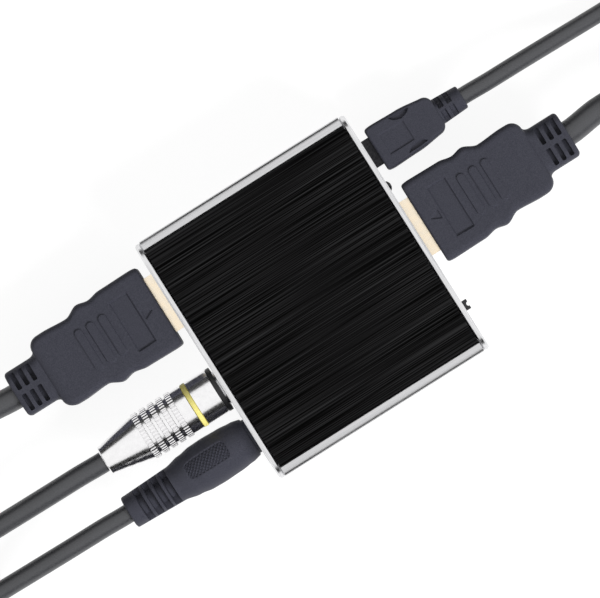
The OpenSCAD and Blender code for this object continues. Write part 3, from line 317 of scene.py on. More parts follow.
def mesh_object(name, points, faces):
    mesh = bpy.data.meshes.new(name)
    mesh.from_pydata(points, [], faces)
    outward = bmesh.new()
    outward.from_mesh(mesh)
    bmesh.ops.recalc_face_normals(outward, faces=outward.faces)
    outward.to_mesh(mesh)
    outward.free()
    mesh.shade_smooth()
    mesh.set_sharp_from_angle(angle=SHARP)
    piece = bpy.data.objects.new(name, mesh)
    bpy.context.scene.collection.objects.link(piece)
    return piece


def skin(rings, closed_ends=True):
    """Points and faces of a surface over rings of points that all have the same count."""
    count = len(rings[0])
    points = [point for ring in rings for point in ring]
    faces = []
    for i in range(len(rings) - 1):
        for j in range(count):
            near, far = i * count + j, i * count + (j + 1) % count
            faces.append((near, near + count, far + count, far))
    if closed_ends:
        last = (len(rings) - 1) * count
        faces.append(tuple(range(count)))
        faces.append(tuple(last + j for j in reversed(range(count))))
    return points, faces


def join(*parts):
    """Points and faces of several parts as one mesh."""
    points, faces = [], []
    for part_points, part_faces in parts:
        start = len(points)
        points += part_points
        faces += [tuple(start + index for index in face) for face in part_faces]
    return points, faces


def section(x, half_w, half_h, radius, columns, height=None):
    """Ring across X: a rectangle with round corners, whose top and bottom are divided into columns
    and rise by height(x, y). The bottom only sinks with it, because it may lie on the floor."""
    ring = []
    for side in (1, -1):
        for i in range(columns + 1):
            y = side * (half_w - radius) * (2 * i / columns - 1)
            rise = height(x, y) if height else 0
            if side == 1:
                rise = min(0, rise)
            ring.append((x, y, -side * (half_h + rise)))
        for i in range(1, CORNER_STEPS):
            angle = math.pi / 2 * i / CORNER_STEPS
            y = side * (half_w - radius + radius * math.sin(angle))
            z = -side * (half_h - radius + radius * math.cos(angle))
            ring.append((x, y, z))
        ring.append((x, side * half_w, 0))
        for i in range(1, CORNER_STEPS):
            angle = math.pi / 2 * i / CORNER_STEPS
            y = side * (half_w - radius + radius * math.cos(angle))
            z = side * (half_h - radius + radius * math.sin(angle))
            ring.append((x, y, z))
    return ring


def grip_rings(length, width, height, shares, rear_r, side_r, step, relief):
    """Rings of a moulded grip whose width follows shares. relief(x, y) raises its faces."""
    widest = width / 2
    columns = math.ceil(2 * (widest - side_r) / step)
    rings = []
    for x in rounded_spread(length, VIDEO_FRONT_R, rear_r, step):
        front = round_inset(x, VIDEO_FRONT_R)
        rear = round_inset(length - x, rear_r)
        half_w = widest * value_at(shares, x / length) - front - rear
        half_h = height / 2 - front - rear * VIDEO_REAR_TOP_R / VIDEO_REAR_R
        rings.append(section(x, half_w, half_h, side_r, columns, relief))
    return rings


def pill(x, y, half_l, half_w):
    """Distance inside a pill that lies across the grip, negative outside it."""
    return half_w - math.hypot(x, max(0, abs(y) - (half_l - half_w)))


def rectangle(x, y, half_l, half_w):
    return min(half_l - abs(x), half_w - abs(y))


def video_relief_height(x, y):
    """Raised bars, sunk badge and arrow mark on a video grip."""
    rise = 0
    for share in BAR_PLACE_SHARES:
        rise += BAR_RISE * soft_step(pill(x - share * VIDEO_L, y, BAR_L / 2, BAR_W / 2))
    badge_x = x - BADGE_PLACE_SHARE * VIDEO_L
    rise -= BADGE_DEPTH * soft_step(rectangle(badge_x, y, BADGE_L / 2, BADGE_W / 2))
    mark_x = x - MARK_PLACE_SHARE * VIDEO_L + MARK_SIDE / 2
    inside = min(mark_x * MARK_WIDENING - abs(y) * MARK_NARROWING, MARK_SIDE - mark_x)
    rise -= MARK_DEPTH * soft_step(inside)
    return rise


def power_relief_height(x, y):
    """Finger dimples at the sides of the small power grip, and its sunk window."""
    side = abs(y) - POWER_W / 2 - DIMPLE_OUT
    dimple = DIMPLE_R - math.hypot(x - POWER_L * DIMPLE_PLACE_SHARE, side)
    window = rectangle(x - WINDOW_START - WINDOW_L / 2, y, WINDOW_L / 2, WINDOW_W / 2)
    return -DIMPLE_DEPTH * soft_step(dimple) - WINDOW_DEPTH * soft_step(window)


def half_outline(length, width):
    """Half width of the video strain relief: a flared root and a rounded end."""
    def half_width(x):
        flare = (VIDEO_ROOT_SHARE - 1) * width / 2
        share = min(1, x / VIDEO_ROOT_L)
        root = flare * (1 - math.sqrt(1 - (1 - share) ** 2)) if share < 1 else 0
        return width / 2 + root - round_inset(length - x, VIDEO_RELIEF_END_R)
    return half_width


def slot_cutters(start):
    """Blocks that cut the slots of a video strain relief."""
    length = (VIDEO_RELIEF_W - SLOT_WEB) / 2 - SLOT_WALL
    parts = []
    for row in range(SLOT_ROWS):
        for side_y in (1, -1):
            for side_z in (1, -1):
                centre = Vector((start + SLOT_FIRST + row * SLOT_PITCH,
                                 side_y * (SLOT_WEB + length) / 2, side_z * VIDEO_RELIEF_H / 2))
                rings = []
                for z in (-SLOT_DEPTH, SLOT_DEPTH):
                    ring = []
                    for i in range(SLOT_SIDES):
                        angle = math.tau * (i + 0.5) / SLOT_SIDES
                        reach_x, reach_y = math.cos(angle), math.sin(angle)
                        round_r = SLOT_W * SLOT_ROUND_SHARE
                        x = math.copysign(SLOT_W / 2 - round_r, reach_x) + round_r * reach_x
                        y = math.copysign(length / 2 - round_r, reach_y) + round_r * reach_y
                        ring.append(tuple(centre + Vector((x, y, z))))
                    rings.append(ring)
                parts.append(skin(rings))
    return join(*parts)


def cut(piece, cutter):
    """Takes cutter away from piece, and deletes it."""
    change = piece.modifiers.new("cut", "BOOLEAN")
    change.object = cutter
    change.solver = "EXACT"
    apply_changes(piece)
    bpy.data.objects.remove(cutter)


def apply_changes(piece):
    """Makes the result of a piece's modifiers its mesh."""
    depsgraph = bpy.context.evaluated_depsgraph_get()
    depsgraph.update()
    result = bpy.data.meshes.new_from_object(piece.evaluated_get(depsgraph))
    piece.modifiers.clear()
    piece.data = result


def block(low, high):
    """Points and faces of a plain block."""
    corners = ((low[1], low[2]), (high[1], low[2]), (high[1], high[2]), (low[1], high[2]))
    rings = [[(x, *corner) for corner in corners] for x in (low[0], high[0])]
    return skin(rings)


def arc(centre, radius, start, end, steps):
    """Points of an arc in the YZ plane. Angles are in degrees from +Y towards +Z."""
    points = []
    for i in range(steps + 1):
        angle = math.radians(start + (end - start) * i / steps)
        points.append((centre[0] + radius * math.cos(angle), centre[1] + radius * math.sin(angle)))
    return points


def shoulder_outline():
    """Upper right quarter of the case shell's outline: side, round edge, arched shoulder and the
    lip beside the panel."""
    top = CASE_HALF_H - LIP_TOP
    crest = PANEL_HALF_W + LIP_R
    reach = CASE_HALF_W - SHOULDER_EDGE_R * SHOULDER_EDGE_SHARE - crest
    fall = math.degrees(math.asin(reach / SHOULDER_R))
    turn = 90 - fall
    shoulder_arc = arc((crest, top - SHOULDER_R), SHOULDER_R, turn, 90, SHOULDER_STEPS)
    edge_z = shoulder_arc[0][1] - SHOULDER_EDGE_R * math.sin(math.radians(turn))
    edge = arc((CASE_HALF_W - SHOULDER_EDGE_R, edge_z), SHOULDER_EDGE_R, 0, turn,
               SHOULDER_EDGE_STEPS)
    lip = arc((crest, top - LIP_R), LIP_R, 90, 180, SHOULDER_STEPS)
    return edge + shoulder_arc + lip[1:] + [(PANEL_HALF_W, CASE_HALF_H - PANEL_SEAT)]


def shell_mesh(start, end):
    """Extruded case shell with arched shoulders and a seat for each panel."""
    quarter = shoulder_outline()
    outline = quarter + [(-y, z) for y, z in reversed(quarter)]
    outline += [(-y, -z) for y, z in quarter] + [(y, -z) for y, z in reversed(quarter)]
    shell = mesh_object("shell", *skin([[(x, y, z + CASE_HALF_H) for y, z in outline]
                                        for x in (start, end)]))
    hollow = block((start - CUT_OVER, -PANEL_HALF_W, CASE_WALL),
                   (end + CUT_OVER, PANEL_HALF_W, 2 * CASE_HALF_H - CASE_WALL))
    cut(shell, mesh_object("hollow", *hollow))
    return shell


def plate_mesh(node):
    """End plate with rounder corners, and with the openings of the plain solid."""
    low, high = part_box(node)
    source = frame["nodes"][node]
    plain = mesh_object("plain", [tuple(source.matrix_world @ v.co) for v in source.data.vertices],
                        [tuple(face.vertices) for face in source.data.polygons])
    joined = bmesh.new()
    joined.from_mesh(plain.data)
    bmesh.ops.remove_doubles(joined, verts=joined.verts, dist=WELD)
    bmesh.ops.recalc_face_normals(joined, faces=joined.faces)
    joined.to_mesh(plain.data)
    joined.free()
    openings = mesh_object("openings", *block(
        (low.x - CUT_OVER, low.y + HOLE_MARGIN, low.z + HOLE_MARGIN),
        (high.x + CUT_OVER, high.y - HOLE_MARGIN, high.z - HOLE_MARGIN)))
    cut(openings, plain)
    rings = []
    for x, inset in ((low.x + PLATE_FACE_GAP, PLATE_EDGE), (low.x + PLATE_EDGE, 0),
                     (high.x - PLATE_EDGE, 0), (high.x - PLATE_FACE_GAP, PLATE_EDGE)):
        ring = section(x, CASE_HALF_W - inset, CASE_HALF_H - inset, PLATE_CORNER_R - inset, 1)
        rings.append([(x, y, z + CASE_HALF_H) for x, y, z in ring])
    plate = mesh_object("plate", *skin(rings))
    cut(plate, openings)
    return plate


def shaded(piece, name):
    """Names a piece that was cut, and smooths its faces up to its sharp edges."""
    piece.name = name
    piece.data.shade_smooth()
    piece.data.set_sharp_from_angle(angle=SHARP)
    return piece


def build_case():
    """Case shell and end plates."""
    low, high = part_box("case_shell")
    dress(shaded(shell_mesh(low.x, high.x), "case_extrusion"), "case_aluminium", "housing",
          ["case_shell"])
    for node in ("end_plate_in", "end_plate_out"):
        dress(shaded(plate_mesh(node), node + "_face"), "plate_aluminium", "housing", [node])


def video_grip_mesh():
    """Moulded video grip, and its slotted strain relief."""
    grip = skin(grip_rings(VIDEO_L, VIDEO_W, VIDEO_H, VIDEO_WIDTH_SHARES, VIDEO_REAR_R,
                           VIDEO_SIDE_R, VIDEO_STEP, video_relief_height))
    half_width = half_outline(VIDEO_RELIEF_L, VIDEO_RELIEF_W)
    places = rounded_spread(VIDEO_RELIEF_L, VIDEO_ROOT_L, VIDEO_RELIEF_END_R, VIDEO_RELIEF_STEP)
    rings = []
    for x in [-RELIEF_SINK] + places:
        end = round_inset(VIDEO_RELIEF_L - x, VIDEO_RELIEF_END_R) / 2
        rings.append(section(x + VIDEO_L, half_width(max(0, x)), VIDEO_RELIEF_H / 2 - end,
                             VIDEO_RELIEF_SIDE_R - end, VIDEO_RELIEF_COLUMNS))
    relief = mesh_object("relief", *skin(rings))
    cut(relief, mesh_object("slots", *slot_cutters(VIDEO_L)))
    relief_part = ([tuple(v.co) for v in relief.data.vertices],
                   [tuple(p.vertices) for p in relief.data.polygons])
    bpy.data.objects.remove(relief)
    return join(grip, relief_part)


def turned(places, radius, sides):
    """Rings round the X axis, whose radius is radius(x, angle). Angle 0 points along +Y."""
    rings = []
    for x in places:
        ring = []
        for j in range(sides):
            angle = math.tau * j / sides
            r = radius(x, angle)
            ring.append((x, r * math.cos(angle), r * math.sin(angle)))
        rings.append(ring)
    return rings


def lathe(profile, sides):
    """Closed surface turned from an outline of (x, radius) that ends where it starts."""
    rings = [[(x, r * math.cos(math.tau * j / sides), r * math.sin(math.tau * j / sides))
              for j in range(sides)] for x, r in profile]
    points, faces = skin(rings + rings[:1], closed_ends=False)
    count = len(profile) * sides
    return points[:count], [tuple(index % count for index in face) for face in faces]


def ringed_relief(start):
    """Strain relief of a power grip: rings on a core, held by four webs."""
    def radius(x, angle):
        along = x - start
        outer = POWER_RELIEF_R * (1 - (1 - POWER_RELIEF_END_SHARE) * max(0, along) / POWER_RELIEF_L)
        outer -= round_inset(POWER_RELIEF_L - along, POWER_RELIEF_END_R)
        core = POWER_RELIEF_R * POWER_RELIEF_CORE_SHARE
        web = min(abs(math.sin(angle)), abs(math.cos(angle))) * outer
        gap = 0
        for i in range(RING_GAPS):
            middle = RING_GAP + i * (RING_W + RING_GAP)
            gap = max(gap, soft_step((RING_GAP / 2 - abs(along - middle)) * GROOVE_SHARPNESS))
        open_share = soft_step(web - RING_WEB / 2)
        return outer - (outer - core) * gap * open_share
    places = spread(start - RELIEF_SINK, start + POWER_RELIEF_L, POWER_RELIEF_STEP)
    return skin(turned(places, radius, POWER_RELIEF_SIDES))


def power_grip_mesh():
    grip = skin(grip_rings(POWER_L, POWER_W, POWER_H, POWER_WIDTH_SHARES, POWER_REAR_R,
                           POWER_SIDE_R, VIDEO_STEP, power_relief_height))
    return join(grip, ringed_relief(POWER_L))


def host_grip_mesh():
    grip = skin(grip_rings(HOST_L, HOST_W, HOST_H, HOST_WIDTH_SHARES, POWER_REAR_R,
                           POWER_SIDE_R, 3 * VIDEO_STEP, None))
    return join(grip, ringed_relief(HOST_L))


def barrel_mesh():
    """Chromed barrel: smooth front with a groove for the band, knurled rings, tapered tail."""
    grip_x = BARREL_FRONT_L
    tail_x = grip_x + BARREL_GRIP_L
    end_x = tail_x + BARREL_TAIL_L
    pitch = BARREL_GRIP_L / KNURL_RINGS
    groove = pitch * KNURL_GROOVE_SHARE
    profile = [(BARREL_FRONT, BARREL_BORE_R)]
    profile += [(BARREL_FRONT, BARREL_R - EDGE_R), (BARREL_FRONT + EDGE_R, BARREL_R)]
    profile += [(BAND_PLACE - BAND_SLOPE, BARREL_R), (BAND_PLACE, BARREL_R - BAND_DEPTH)]
    profile += [(BAND_PLACE + BAND_W, BARREL_R - BAND_DEPTH),
                (BAND_PLACE + BAND_W + BAND_SLOPE, BARREL_R)]
    profile += [(grip_x, BARREL_R)]
    for i in range(1, KNURL_RINGS):
        middle = grip_x + i * pitch
        profile += [(middle - groove / 2, BARREL_R), (middle - groove / 2, GROOVE_R),
                    (middle + groove / 2, GROOVE_R), (middle + groove / 2, BARREL_R)]
    profile += [(tail_x, BARREL_R), (tail_x + TAIL_EDGE_L, BARREL_R - TAIL_EDGE_DEPTH)]
    profile += [(end_x - BARREL_TAIL_LIP, BARREL_TAIL_R), (end_x - EDGE_R, BARREL_TAIL_R),
                (end_x, BARREL_TAIL_R - EDGE_R), (end_x, BARREL_AXIS_R),
                (BARREL_BORE_L, BARREL_AXIS_R), (BARREL_BORE_L, BARREL_BORE_R)]
    parts = [lathe(profile, BARREL_SIDES)]
    for i in range(KNURL_RINGS):
        start, end = grip_x + groove / 2 + i * pitch, grip_x + (i + 1) * pitch - groove / 2
        parts.append(skin(turned(spread(start, end, KNURL_STEP), knurl_radius(start, end),
                                 KNURL_TEETH * POINTS_FOR_EACH_TOOTH)))
    return join(*parts)


def knurl_radius(start, end):
    """Radius of a knurled ring: narrow cuts along the axis, and round shoulders at both ends."""
    def radius(x, angle):
        turn = abs((angle * KNURL_TEETH / math.pi) % 2 - 1)
        depth = max(0, 1 - turn / KNURL_CUT_SHARE)
        inset = round_inset(min(x - start, end - x), EDGE_R)
        return KNURL_R - KNURL_DEPTH * depth - inset
    return radius


def aux_patch(x, angle):
    """Diamond knurl on the upper and lower face of the headphone grip, from -1 to 0."""
    side = AUX_R * math.cos(angle) - PATCH_SIDE
    along = x - PATCH_START
    reach_x = abs(along - PATCH_L / 2) - PATCH_L / 2 + PATCH_CORNER_R
    reach_y = abs(side) - PATCH_HALF_W + PATCH_CORNER_R
    inside = PATCH_CORNER_R - math.hypot(max(0, reach_x), max(0, reach_y))
    if inside < -SOFT_EDGE:
        return 0
    first = math.sin(math.pi * (along + side) / PATCH_PITCH)
    second = math.sin(math.pi * (along - side) / PATCH_PITCH)
    pit = min(1, PATCH_SHARPNESS * min(abs(first), abs(second)))
    return -soft_step(inside) * (PATCH_BASE_SHARE + (1 - PATCH_BASE_SHARE) * pit)


def aux_grip_mesh():
    """Moulded headphone grip, and its strain relief with grooves held by a web on each side."""
    pitch = (AUX_RELIEF_L - AUX_COLLAR_L) / AUX_GROOVES
    root_r = AUX_R * AUX_RADIUS_SHARES[-1][1]
    end = AUX_L + AUX_RELIEF_L

    def radius(x, angle):
        if x < 0:
            return AUX_R * AUX_LIP_SHARE
        if x <= AUX_L:
            r = AUX_R * value_at(AUX_RADIUS_SHARES, x / AUX_L) - round_inset(x, AUX_FRONT_R)
            return r + PATCH_DEPTH * aux_patch(x, angle)
        outer = root_r + (AUX_COLLAR_R - root_r) * (x - AUX_L) / AUX_RELIEF_L
        outer -= round_inset(end - x, AUX_RELIEF_END_R)
        gap = 0
        for i in range(AUX_GROOVES):
            middle = AUX_L + pitch / 2 + i * pitch
            gap = max(gap, soft_step((AUX_GROOVE_W / 2 - abs(x - middle)) * GROOVE_SHARPNESS))
        away = abs(math.sin(angle)) * outer - AUX_WEB_W / 2
        return outer - (outer - AUX_CORE_R) * gap * soft_step(away)

    places = [-AUX_LIP_L, -AUX_LIP_GAP] + spread(0, AUX_L, AUX_STEP)[:-1]
    places += spread(AUX_L, end, AUX_RELIEF_STEP)
    return skin(turned(places, radius, AUX_SIDES))


# Materials

def material(name, dark, light, scale, stretch=(1, 1, 1), span=(0.35, 0.65), metallic=0.0,
             roughness=(0.45, 0.55), bump=0.0, specular=0.5, detail=3.0):
    """Principled surface whose colour, roughness and height follow one stretched noise. Scale is
    in features for each metre, and bump in metres."""
    made = bpy.data.materials.new(name)
    made.use_nodes = True
    nodes, links = made.node_tree.nodes, made.node_tree.links
    shader = nodes["Principled BSDF"]
    shader.inputs["Metallic"].default_value = metallic
    shader.inputs["Specular IOR Level"].default_value = specular
    place = nodes.new("ShaderNodeTexCoord")
    mapping = nodes.new("ShaderNodeMapping")
    mapping.inputs["Scale"].default_value = stretch
    noise = nodes.new("ShaderNodeTexNoise")
    noise.inputs["Scale"].default_value = scale
    noise.inputs["Detail"].default_value = detail
    spreading = nodes.new("ShaderNodeMapRange")
    spreading.inputs["From Min"].default_value = span[0]
    spreading.inputs["From Max"].default_value = span[1]
    mix = nodes.new("ShaderNodeMix")
    mix.data_type = "RGBA"
    mix.inputs["A"].default_value = (*dark, 1)
    mix.inputs["B"].default_value = (*light, 1)
    rough = nodes.new("ShaderNodeMapRange")
    rough.inputs["To Min"].default_value = roughness[0]
    rough.inputs["To Max"].default_value = roughness[1]
    links.new(place.outputs["Object"], mapping.inputs["Vector"])
    links.new(mapping.outputs["Vector"], noise.inputs["Vector"])
    links.new(noise.outputs["Fac"], spreading.inputs["Value"])
    links.new(spreading.outputs["Result"], mix.inputs["Factor"])
    links.new(spreading.outputs["Result"], rough.inputs["Value"])
    links.new(mix.outputs["Result"], shader.inputs["Base Color"])
    links.new(rough.outputs["Result"], shader.inputs["Roughness"])
    if bump:
        height = nodes.new("ShaderNodeBump")
        height.inputs["Distance"].default_value = bump
        height.inputs["Strength"].default_value = 1
        links.new(noise.outputs["Fac"], height.inputs["Height"])
        links.new(height.outputs["Normal"], shader.inputs["Normal"])
    return made


# How far the noise is drawn out along an axis, where a surface is brushed
CASE_BRUSHING = (0.012, 1, 1)
PANEL_BRUSHING = (0.004, 1, 1)
PLATE_BRUSHING = (1, 0.05, 1)
FINISHES = {
    "case_aluminium": material("case_aluminium", (0.6, 0.6, 0.61), (0.68, 0.68, 0.69), 2500,
                               CASE_BRUSHING, metallic=1, roughness=(0.25, 0.36), bump=0.004 * MM),
    "black_panel": material("black_panel", (0.001, 0.001, 0.001), (0.03, 0.03, 0.031), 4600,
                            PANEL_BRUSHING, span=(0.45, 0.7), roughness=(0.35, 0.55),
                            bump=0.003 * MM, specular=0.012),
    "plate_aluminium": material("plate_aluminium", (0.7, 0.7, 0.71), (0.8, 0.8, 0.81), 3000,
                                PLATE_BRUSHING, metallic=1, roughness=(0.25, 0.3),
                                bump=0.0015 * MM),
    "screw_steel": material("screw_steel", (0.45, 0.45, 0.47), (0.6, 0.6, 0.62), 2500,
                            metallic=1, roughness=(0.2, 0.35), bump=0.004 * MM),
    "board": material("board", (0.01, 0.09, 0.04), (0.02, 0.17, 0.07), 260,
                      span=(0.45, 0.5), roughness=(0.28, 0.4), bump=0.01 * MM),
    "chip_black": material("chip_black", (0.012, 0.012, 0.013), (0.028, 0.028, 0.03), 5000,
                           roughness=(0.5, 0.65), bump=0.006 * MM),
    "can_metal": material("can_metal", (0.5, 0.5, 0.52), (0.66, 0.66, 0.68), 1500,
                          metallic=1, roughness=(0.22, 0.35), bump=0.003 * MM),
    "ferrite": material("ferrite", (0.03, 0.03, 0.033), (0.07, 0.07, 0.075), 4000,
                        roughness=(0.6, 0.75), bump=0.01 * MM),
    "socket_metal": material("socket_metal", (0.5, 0.5, 0.51), (0.64, 0.64, 0.66), 1800,
                             metallic=1, roughness=(0.2, 0.32), bump=0.003 * MM),
    "socket_black": material("socket_black", (0.008, 0.008, 0.009), (0.02, 0.02, 0.022), 4000,
                             roughness=(0.4, 0.55), bump=0.005 * MM),
    "knob_black": material("knob_black", (0.008, 0.008, 0.009), (0.02, 0.02, 0.022), 4000,
                           roughness=(0.35, 0.5), bump=0.006 * MM),
    "dark_nickel": material("dark_nickel", (0.02, 0.02, 0.022), (0.04, 0.04, 0.043), 1800,
                            metallic=1, roughness=(0.25, 0.38), bump=0.003 * MM),
    "tongue_white": material("tongue_white", (0.72, 0.72, 0.7), (0.8, 0.8, 0.78), 2500,
                             roughness=(0.4, 0.5), bump=0.004 * MM),
    "cord_rubber": material("cord_rubber", (0.042, 0.043, 0.047), (0.058, 0.059, 0.065), 3500,
                            roughness=(0.34, 0.44), bump=0.006 * MM, specular=0.7),
    "grip_rubber": material("grip_rubber", (0.032, 0.033, 0.045), (0.057, 0.058, 0.075), 5200,
                            roughness=(0.5, 0.62), bump=0.02 * MM, specular=0.25),
    "gold_plate": material("gold_plate", (1, 0.86, 0.66), (1, 0.89, 0.72), 900,
                           metallic=1, roughness=(0.22, 0.28)),
    "barrel_chrome": material("barrel_chrome", (0.9, 0.893, 0.9), (0.95, 0.943, 0.95), 900,
                              metallic=1, roughness=(0.2, 0.24), bump=0.00015 * MM),
    "band_yellow": material("band_yellow", (0.82, 0.72, 0.2), (0.9, 0.82, 0.28), 2500,
                            roughness=(0.4, 0.5), bump=0.003 * MM),
}


def dress(piece, slot, body=None, nodes=()):
    """Gives a new piece its finish and its body, and hides the CAD nodes that it stands for."""
    piece.data.materials.clear()
    piece.data.materials.append(FINISHES[slot])
    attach(piece, body)
    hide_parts(*nodes)


def finish_node(node, slot):
    """Finish, small round edges and smooth faces on a CAD node that stays."""
    piece = frame["nodes"][node]
    piece.data.materials.clear()
    piece.data.materials.append(FINISHES[slot])
    with bpy.context.temp_override(object=piece, active_object=piece):
        bpy.ops.mesh.customdata_custom_splitnormals_clear()
    weld = piece.modifiers.new("weld", "WELD")
    weld.merge_threshold = WELD
    bevel = piece.modifiers.new("bevel", "BEVEL")
    bevel.width = BEVEL
    bevel.segments = BEVEL_SEGMENTS
    bevel.limit_method = "ANGLE"
    bevel.angle_limit = SHARP
    bevel.use_clamp_overlap = True
    bevel.harden_normals = False
    piece.data.shade_smooth()
    weights = piece.modifiers.new("weights", "WEIGHTED_NORMAL")
    weights.keep_sharp = True


def plug_place(outer, centre, faces_plus_x):
    """Where a plug's own frame lies: x runs from its front back to its cord."""
    low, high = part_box(outer)
    centre_low, centre_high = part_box(centre)
    middle = (centre_low + centre_high) / 2
    if faces_plus_x:
        return Matrix.Translation((high.x, middle.y, middle.z)) @ Matrix.Rotation(math.pi, 4, "Z")
    return Matrix.Translation((low.x, middle.y, middle.z))


def place_plug(name, mesh, place, slot, body, node):
    """Puts a mesh made in a plug's own frame in its place, dressed as that body's piece."""
    piece = mesh_object(name, *mesh)
    piece.matrix_world = place
    dress(piece, slot, body, [node])
    return piece


def build_plugs():
    """The ten plugs. The far ones face away from the box."""
    video, barrel, aux = video_grip_mesh(), barrel_mesh(), aux_grip_mesh()
    far_pieces = {}
    for lead, near_faces_plus in (("video_in", False), ("video_out", True)):
        for end, turned_round in (("plug", False), ("far", True)):
            node = f"{lead}_{end}_grip"
            place = plug_place(node, f"{lead}_{end}_shell", near_faces_plus != turned_round)
            piece = place_plug(f"{lead}_{end}_moulding", video, place, "grip_rubber",
                               f"{lead}_lead", node)
        far_pieces[f"{lead}_cord"] = [piece, f"{lead}_far_shell", f"{lead}_far_core"]
    place_plug("power_plug_moulding", power_grip_mesh(),
               plug_place("power_plug_grip", "power_plug_shell", False), "grip_rubber",
               "power_lead", "power_plug_grip")
    host = place_plug("power_far_moulding", host_grip_mesh(),
                      plug_place("power_far_grip", "power_far_shell", True), "grip_rubber",
                      "power_lead", "power_far_grip")
    far_pieces["power_cord"] = [host, "power_far_shell", "power_far_tongue"]
    for end, faces_plus in (("plug", True), ("far", False)):
        core = f"coax_{end}_core"
        piece = place_plug(f"coax_{end}_sleeve", barrel, plug_place(core, core, faces_plus),
                           "barrel_chrome", "coax_lead", f"coax_{end}_barrel")
        grip = place_plug(f"aux_{end}_moulding", aux,
                          plug_place(f"aux_{end}_grip", f"aux_{end}_grip", faces_plus),
                          "grip_rubber", "aux_lead", f"aux_{end}_grip")
    far_pieces["coax_cord"] = [piece, "coax_far_core", "coax_far_band", "coax_far_pin"]
    far_pieces["aux_cord"] = [grip, "aux_far_pin"]
    return far_pieces


def build_cord(node):
    """A cord as a round curve from its strain relief to the far plug."""
    near = {"coax_cord": "coax_plug_barrel"}.get(node, node.replace("cord", "plug_grip"))
    low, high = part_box(near)
    outwards = 1 if node in ("video_in_cord", "power_cord") else -1
    start_x = high.x if outwards == 1 else low.x
    centre = {"video_in_cord": "video_in_plug_shell", "video_out_cord": "video_out_plug_shell",
              "power_cord": "power_plug_shell"}.get(node, near)
    start_y = sum(corner.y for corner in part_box(centre)) / 2
    route = [[value * MM for value in point] for point in ROUTES[node]]
    sides = [(point[0], point[1]) for point in route]
    heights = [(point[0], point[2]) for point in route]
    points = [
        Vector((start_x + outwards * x, start_y + outwards * value_at(sides, x),
                value_at(heights, x)))
        for x in spread(0, route[-1][0], CORD_STEP)
    ]
    curve = bpy.data.curves.new(node + "_tube", "CURVE")
    curve.dimensions = "3D"
    curve.bevel_depth = CORD_DIAMETERS[node] / 2
    curve.bevel_resolution = CORD_ROUNDNESS
    curve.use_fill_caps = True
    spline = curve.splines.new("POLY")
    spline.points.add(len(points) - 1)
    for target, point in zip(spline.points, points):
        target.co = (*point, 1)
    spline.use_smooth = True
    piece = bpy.data.objects.new(node + "_tube", curve)
    bpy.context.scene.collection.objects.link(piece)
    lead = node.replace("cord", "lead")
    dress(piece, "cord_rubber", lead, [node])


# Camera, floor and lamps

def place_camera():
    """Camera at the distance at which the picture is PICTURE_WIDTH wide at AIM."""
    distance = PICTURE_WIDTH * LENS / SENSOR
    back = Vector((math.sin(LEAN_X), math.sin(LEAN_Y), 1)).normalized()
    right = Vector((math.cos(TURN), math.sin(TURN), 0))
    right = (right - back * right.dot(back)).normalized()
    up = back.cross(right)
    data = bpy.data.cameras.new("camera")
    data.lens = LENS
    data.sensor_width = SENSOR
    data.clip_start = CLIP_START
    data.clip_end = CLIP_END
    camera = bpy.data.objects.new("camera", data)
    turn = Matrix((right, up, back)).transposed().to_4x4()
    camera.matrix_world = Matrix.Translation(AIM + back * distance) @ turn
    bpy.context.scene.collection.objects.link(camera)
    bpy.context.scene.camera = camera


def white_ray(nodes, links):
    """A node that is 1 for camera, glossy and transmission rays, and 0 for the rest."""
    path = nodes.new("ShaderNodeLightPath")
    total = path.outputs["Is Camera Ray"]
    for name in ("Is Glossy Ray", "Is Transmission Ray"):
        larger = nodes.new("ShaderNodeMath")
        larger.operation = "MAXIMUM"
        links.new(total, larger.inputs[0])
        links.new(path.outputs[name], larger.inputs[1])
        total = larger.outputs[0]
    return total


def place_floor():
    """Grey floor that keeps the shadow, lifted to white for the camera and in reflections."""
    corners = [(x * FLOOR_HALF, y * FLOOR_HALF, -FLOOR_DROP)
               for x, y in ((-1, -1), (1, -1), (1, 1), (-1, 1))]
    floor = mesh_object("floor", corners, [(0, 1, 2, 3)])
    made = bpy.data.materials.new("floor_white")
    made.use_nodes = True
    nodes, links = made.node_tree.nodes, made.node_tree.links
    shader = nodes["Principled BSDF"]
    shader.inputs["Base Color"].default_value = (FLOOR_GREY, FLOOR_GREY, FLOOR_GREY, 1)
    shader.inputs["Roughness"].default_value = FLOOR_ROUGHNESS
    shader.inputs["Specular IOR Level"].default_value = FLOOR_SPECULAR
    shader.inputs["Emission Color"].default_value = (1, 1, 1, 1)
    lift = nodes.new("ShaderNodeMath")
    lift.operation = "MULTIPLY"
    lift.inputs[1].default_value = FLOOR_LIFT
    links.new(white_ray(nodes, links), lift.inputs[0])
    links.new(lift.outputs[0], shader.inputs["Emission Strength"])
    floor.data.materials.append(made)


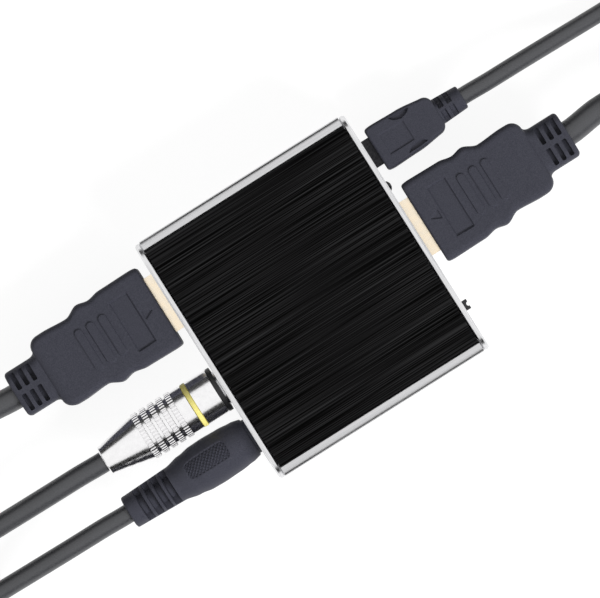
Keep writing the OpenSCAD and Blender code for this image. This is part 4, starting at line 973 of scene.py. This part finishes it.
def place_world():
    """White sky that lights the part at SKY_LIGHT."""
    world = bpy.data.worlds.new("studio")
    bpy.context.scene.world = world
    world.use_nodes = True
    nodes, links = world.node_tree.nodes, world.node_tree.links
    background = nodes["Background"]
    background.inputs["Color"].default_value = (1, 1, 1, 1)
    span = nodes.new("ShaderNodeMapRange")
    span.inputs["To Min"].default_value = SKY_LIGHT
    span.inputs["To Max"].default_value = 1
    links.new(white_ray(nodes, links), span.inputs["Value"])
    links.new(span.outputs["Result"], background.inputs["Strength"])


def place_lamp():
    """Soft lamp that faces the part and isn't seen in its metal."""
    data = bpy.data.lights.new("key", "AREA")
    data.shape = "RECTANGLE"
    data.size, data.size_y = LAMP_SIZE
    data.energy = LAMP_WATTS
    lamp = bpy.data.objects.new("key", data)
    lamp.location = LAMP_PLACE
    lamp.visible_glossy = False
    lamp.rotation_mode = "QUATERNION"
    lamp.rotation_quaternion = (-Vector(LAMP_PLACE)).to_track_quat("-Z", "Y")
    bpy.context.scene.collection.objects.link(lamp)


def place_card(name, side):
    """Dark card beside the part, seen only in reflections, that shapes the shine of its metal."""
    corners = [(x * CARD_HALF_L, side, z)
               for x, z in ((-1, CARD_LOW), (1, CARD_LOW), (1, CARD_HIGH), (-1, CARD_HIGH))]
    card = mesh_object(name, corners, [(0, 1, 2, 3)])
    made = bpy.data.materials.new(name + "_black")
    made.use_nodes = True
    shader = made.node_tree.nodes["Principled BSDF"]
    shader.inputs["Base Color"].default_value = (CARD_GREY, CARD_GREY, CARD_GREY, 1)
    shader.inputs["Specular IOR Level"].default_value = 0
    card.data.materials.append(made)
    for ray in ("camera", "diffuse", "shadow", "transmission"):
        setattr(card, "visible_" + ray, False)


place_camera()
place_floor()
place_world()
place_lamp()
place_card("card_left", CARD_SIDE)
place_card("card_right", -CARD_SIDE)

build_case()
far_ends = build_plugs()
for cord_node in ROUTES:
    build_cord(cord_node)

replaced = {node for node in frame["nodes"]
            if node.endswith(("_grip", "_barrel", "_cord")) or node in CASE_NODES}
for subpart in frame["record"]["subparts"]:
    if subpart["node"] not in replaced:
        finish_node(subpart["node"], subpart["material_slot"])

bpy.context.scene.view_settings.view_transform = "Standard"
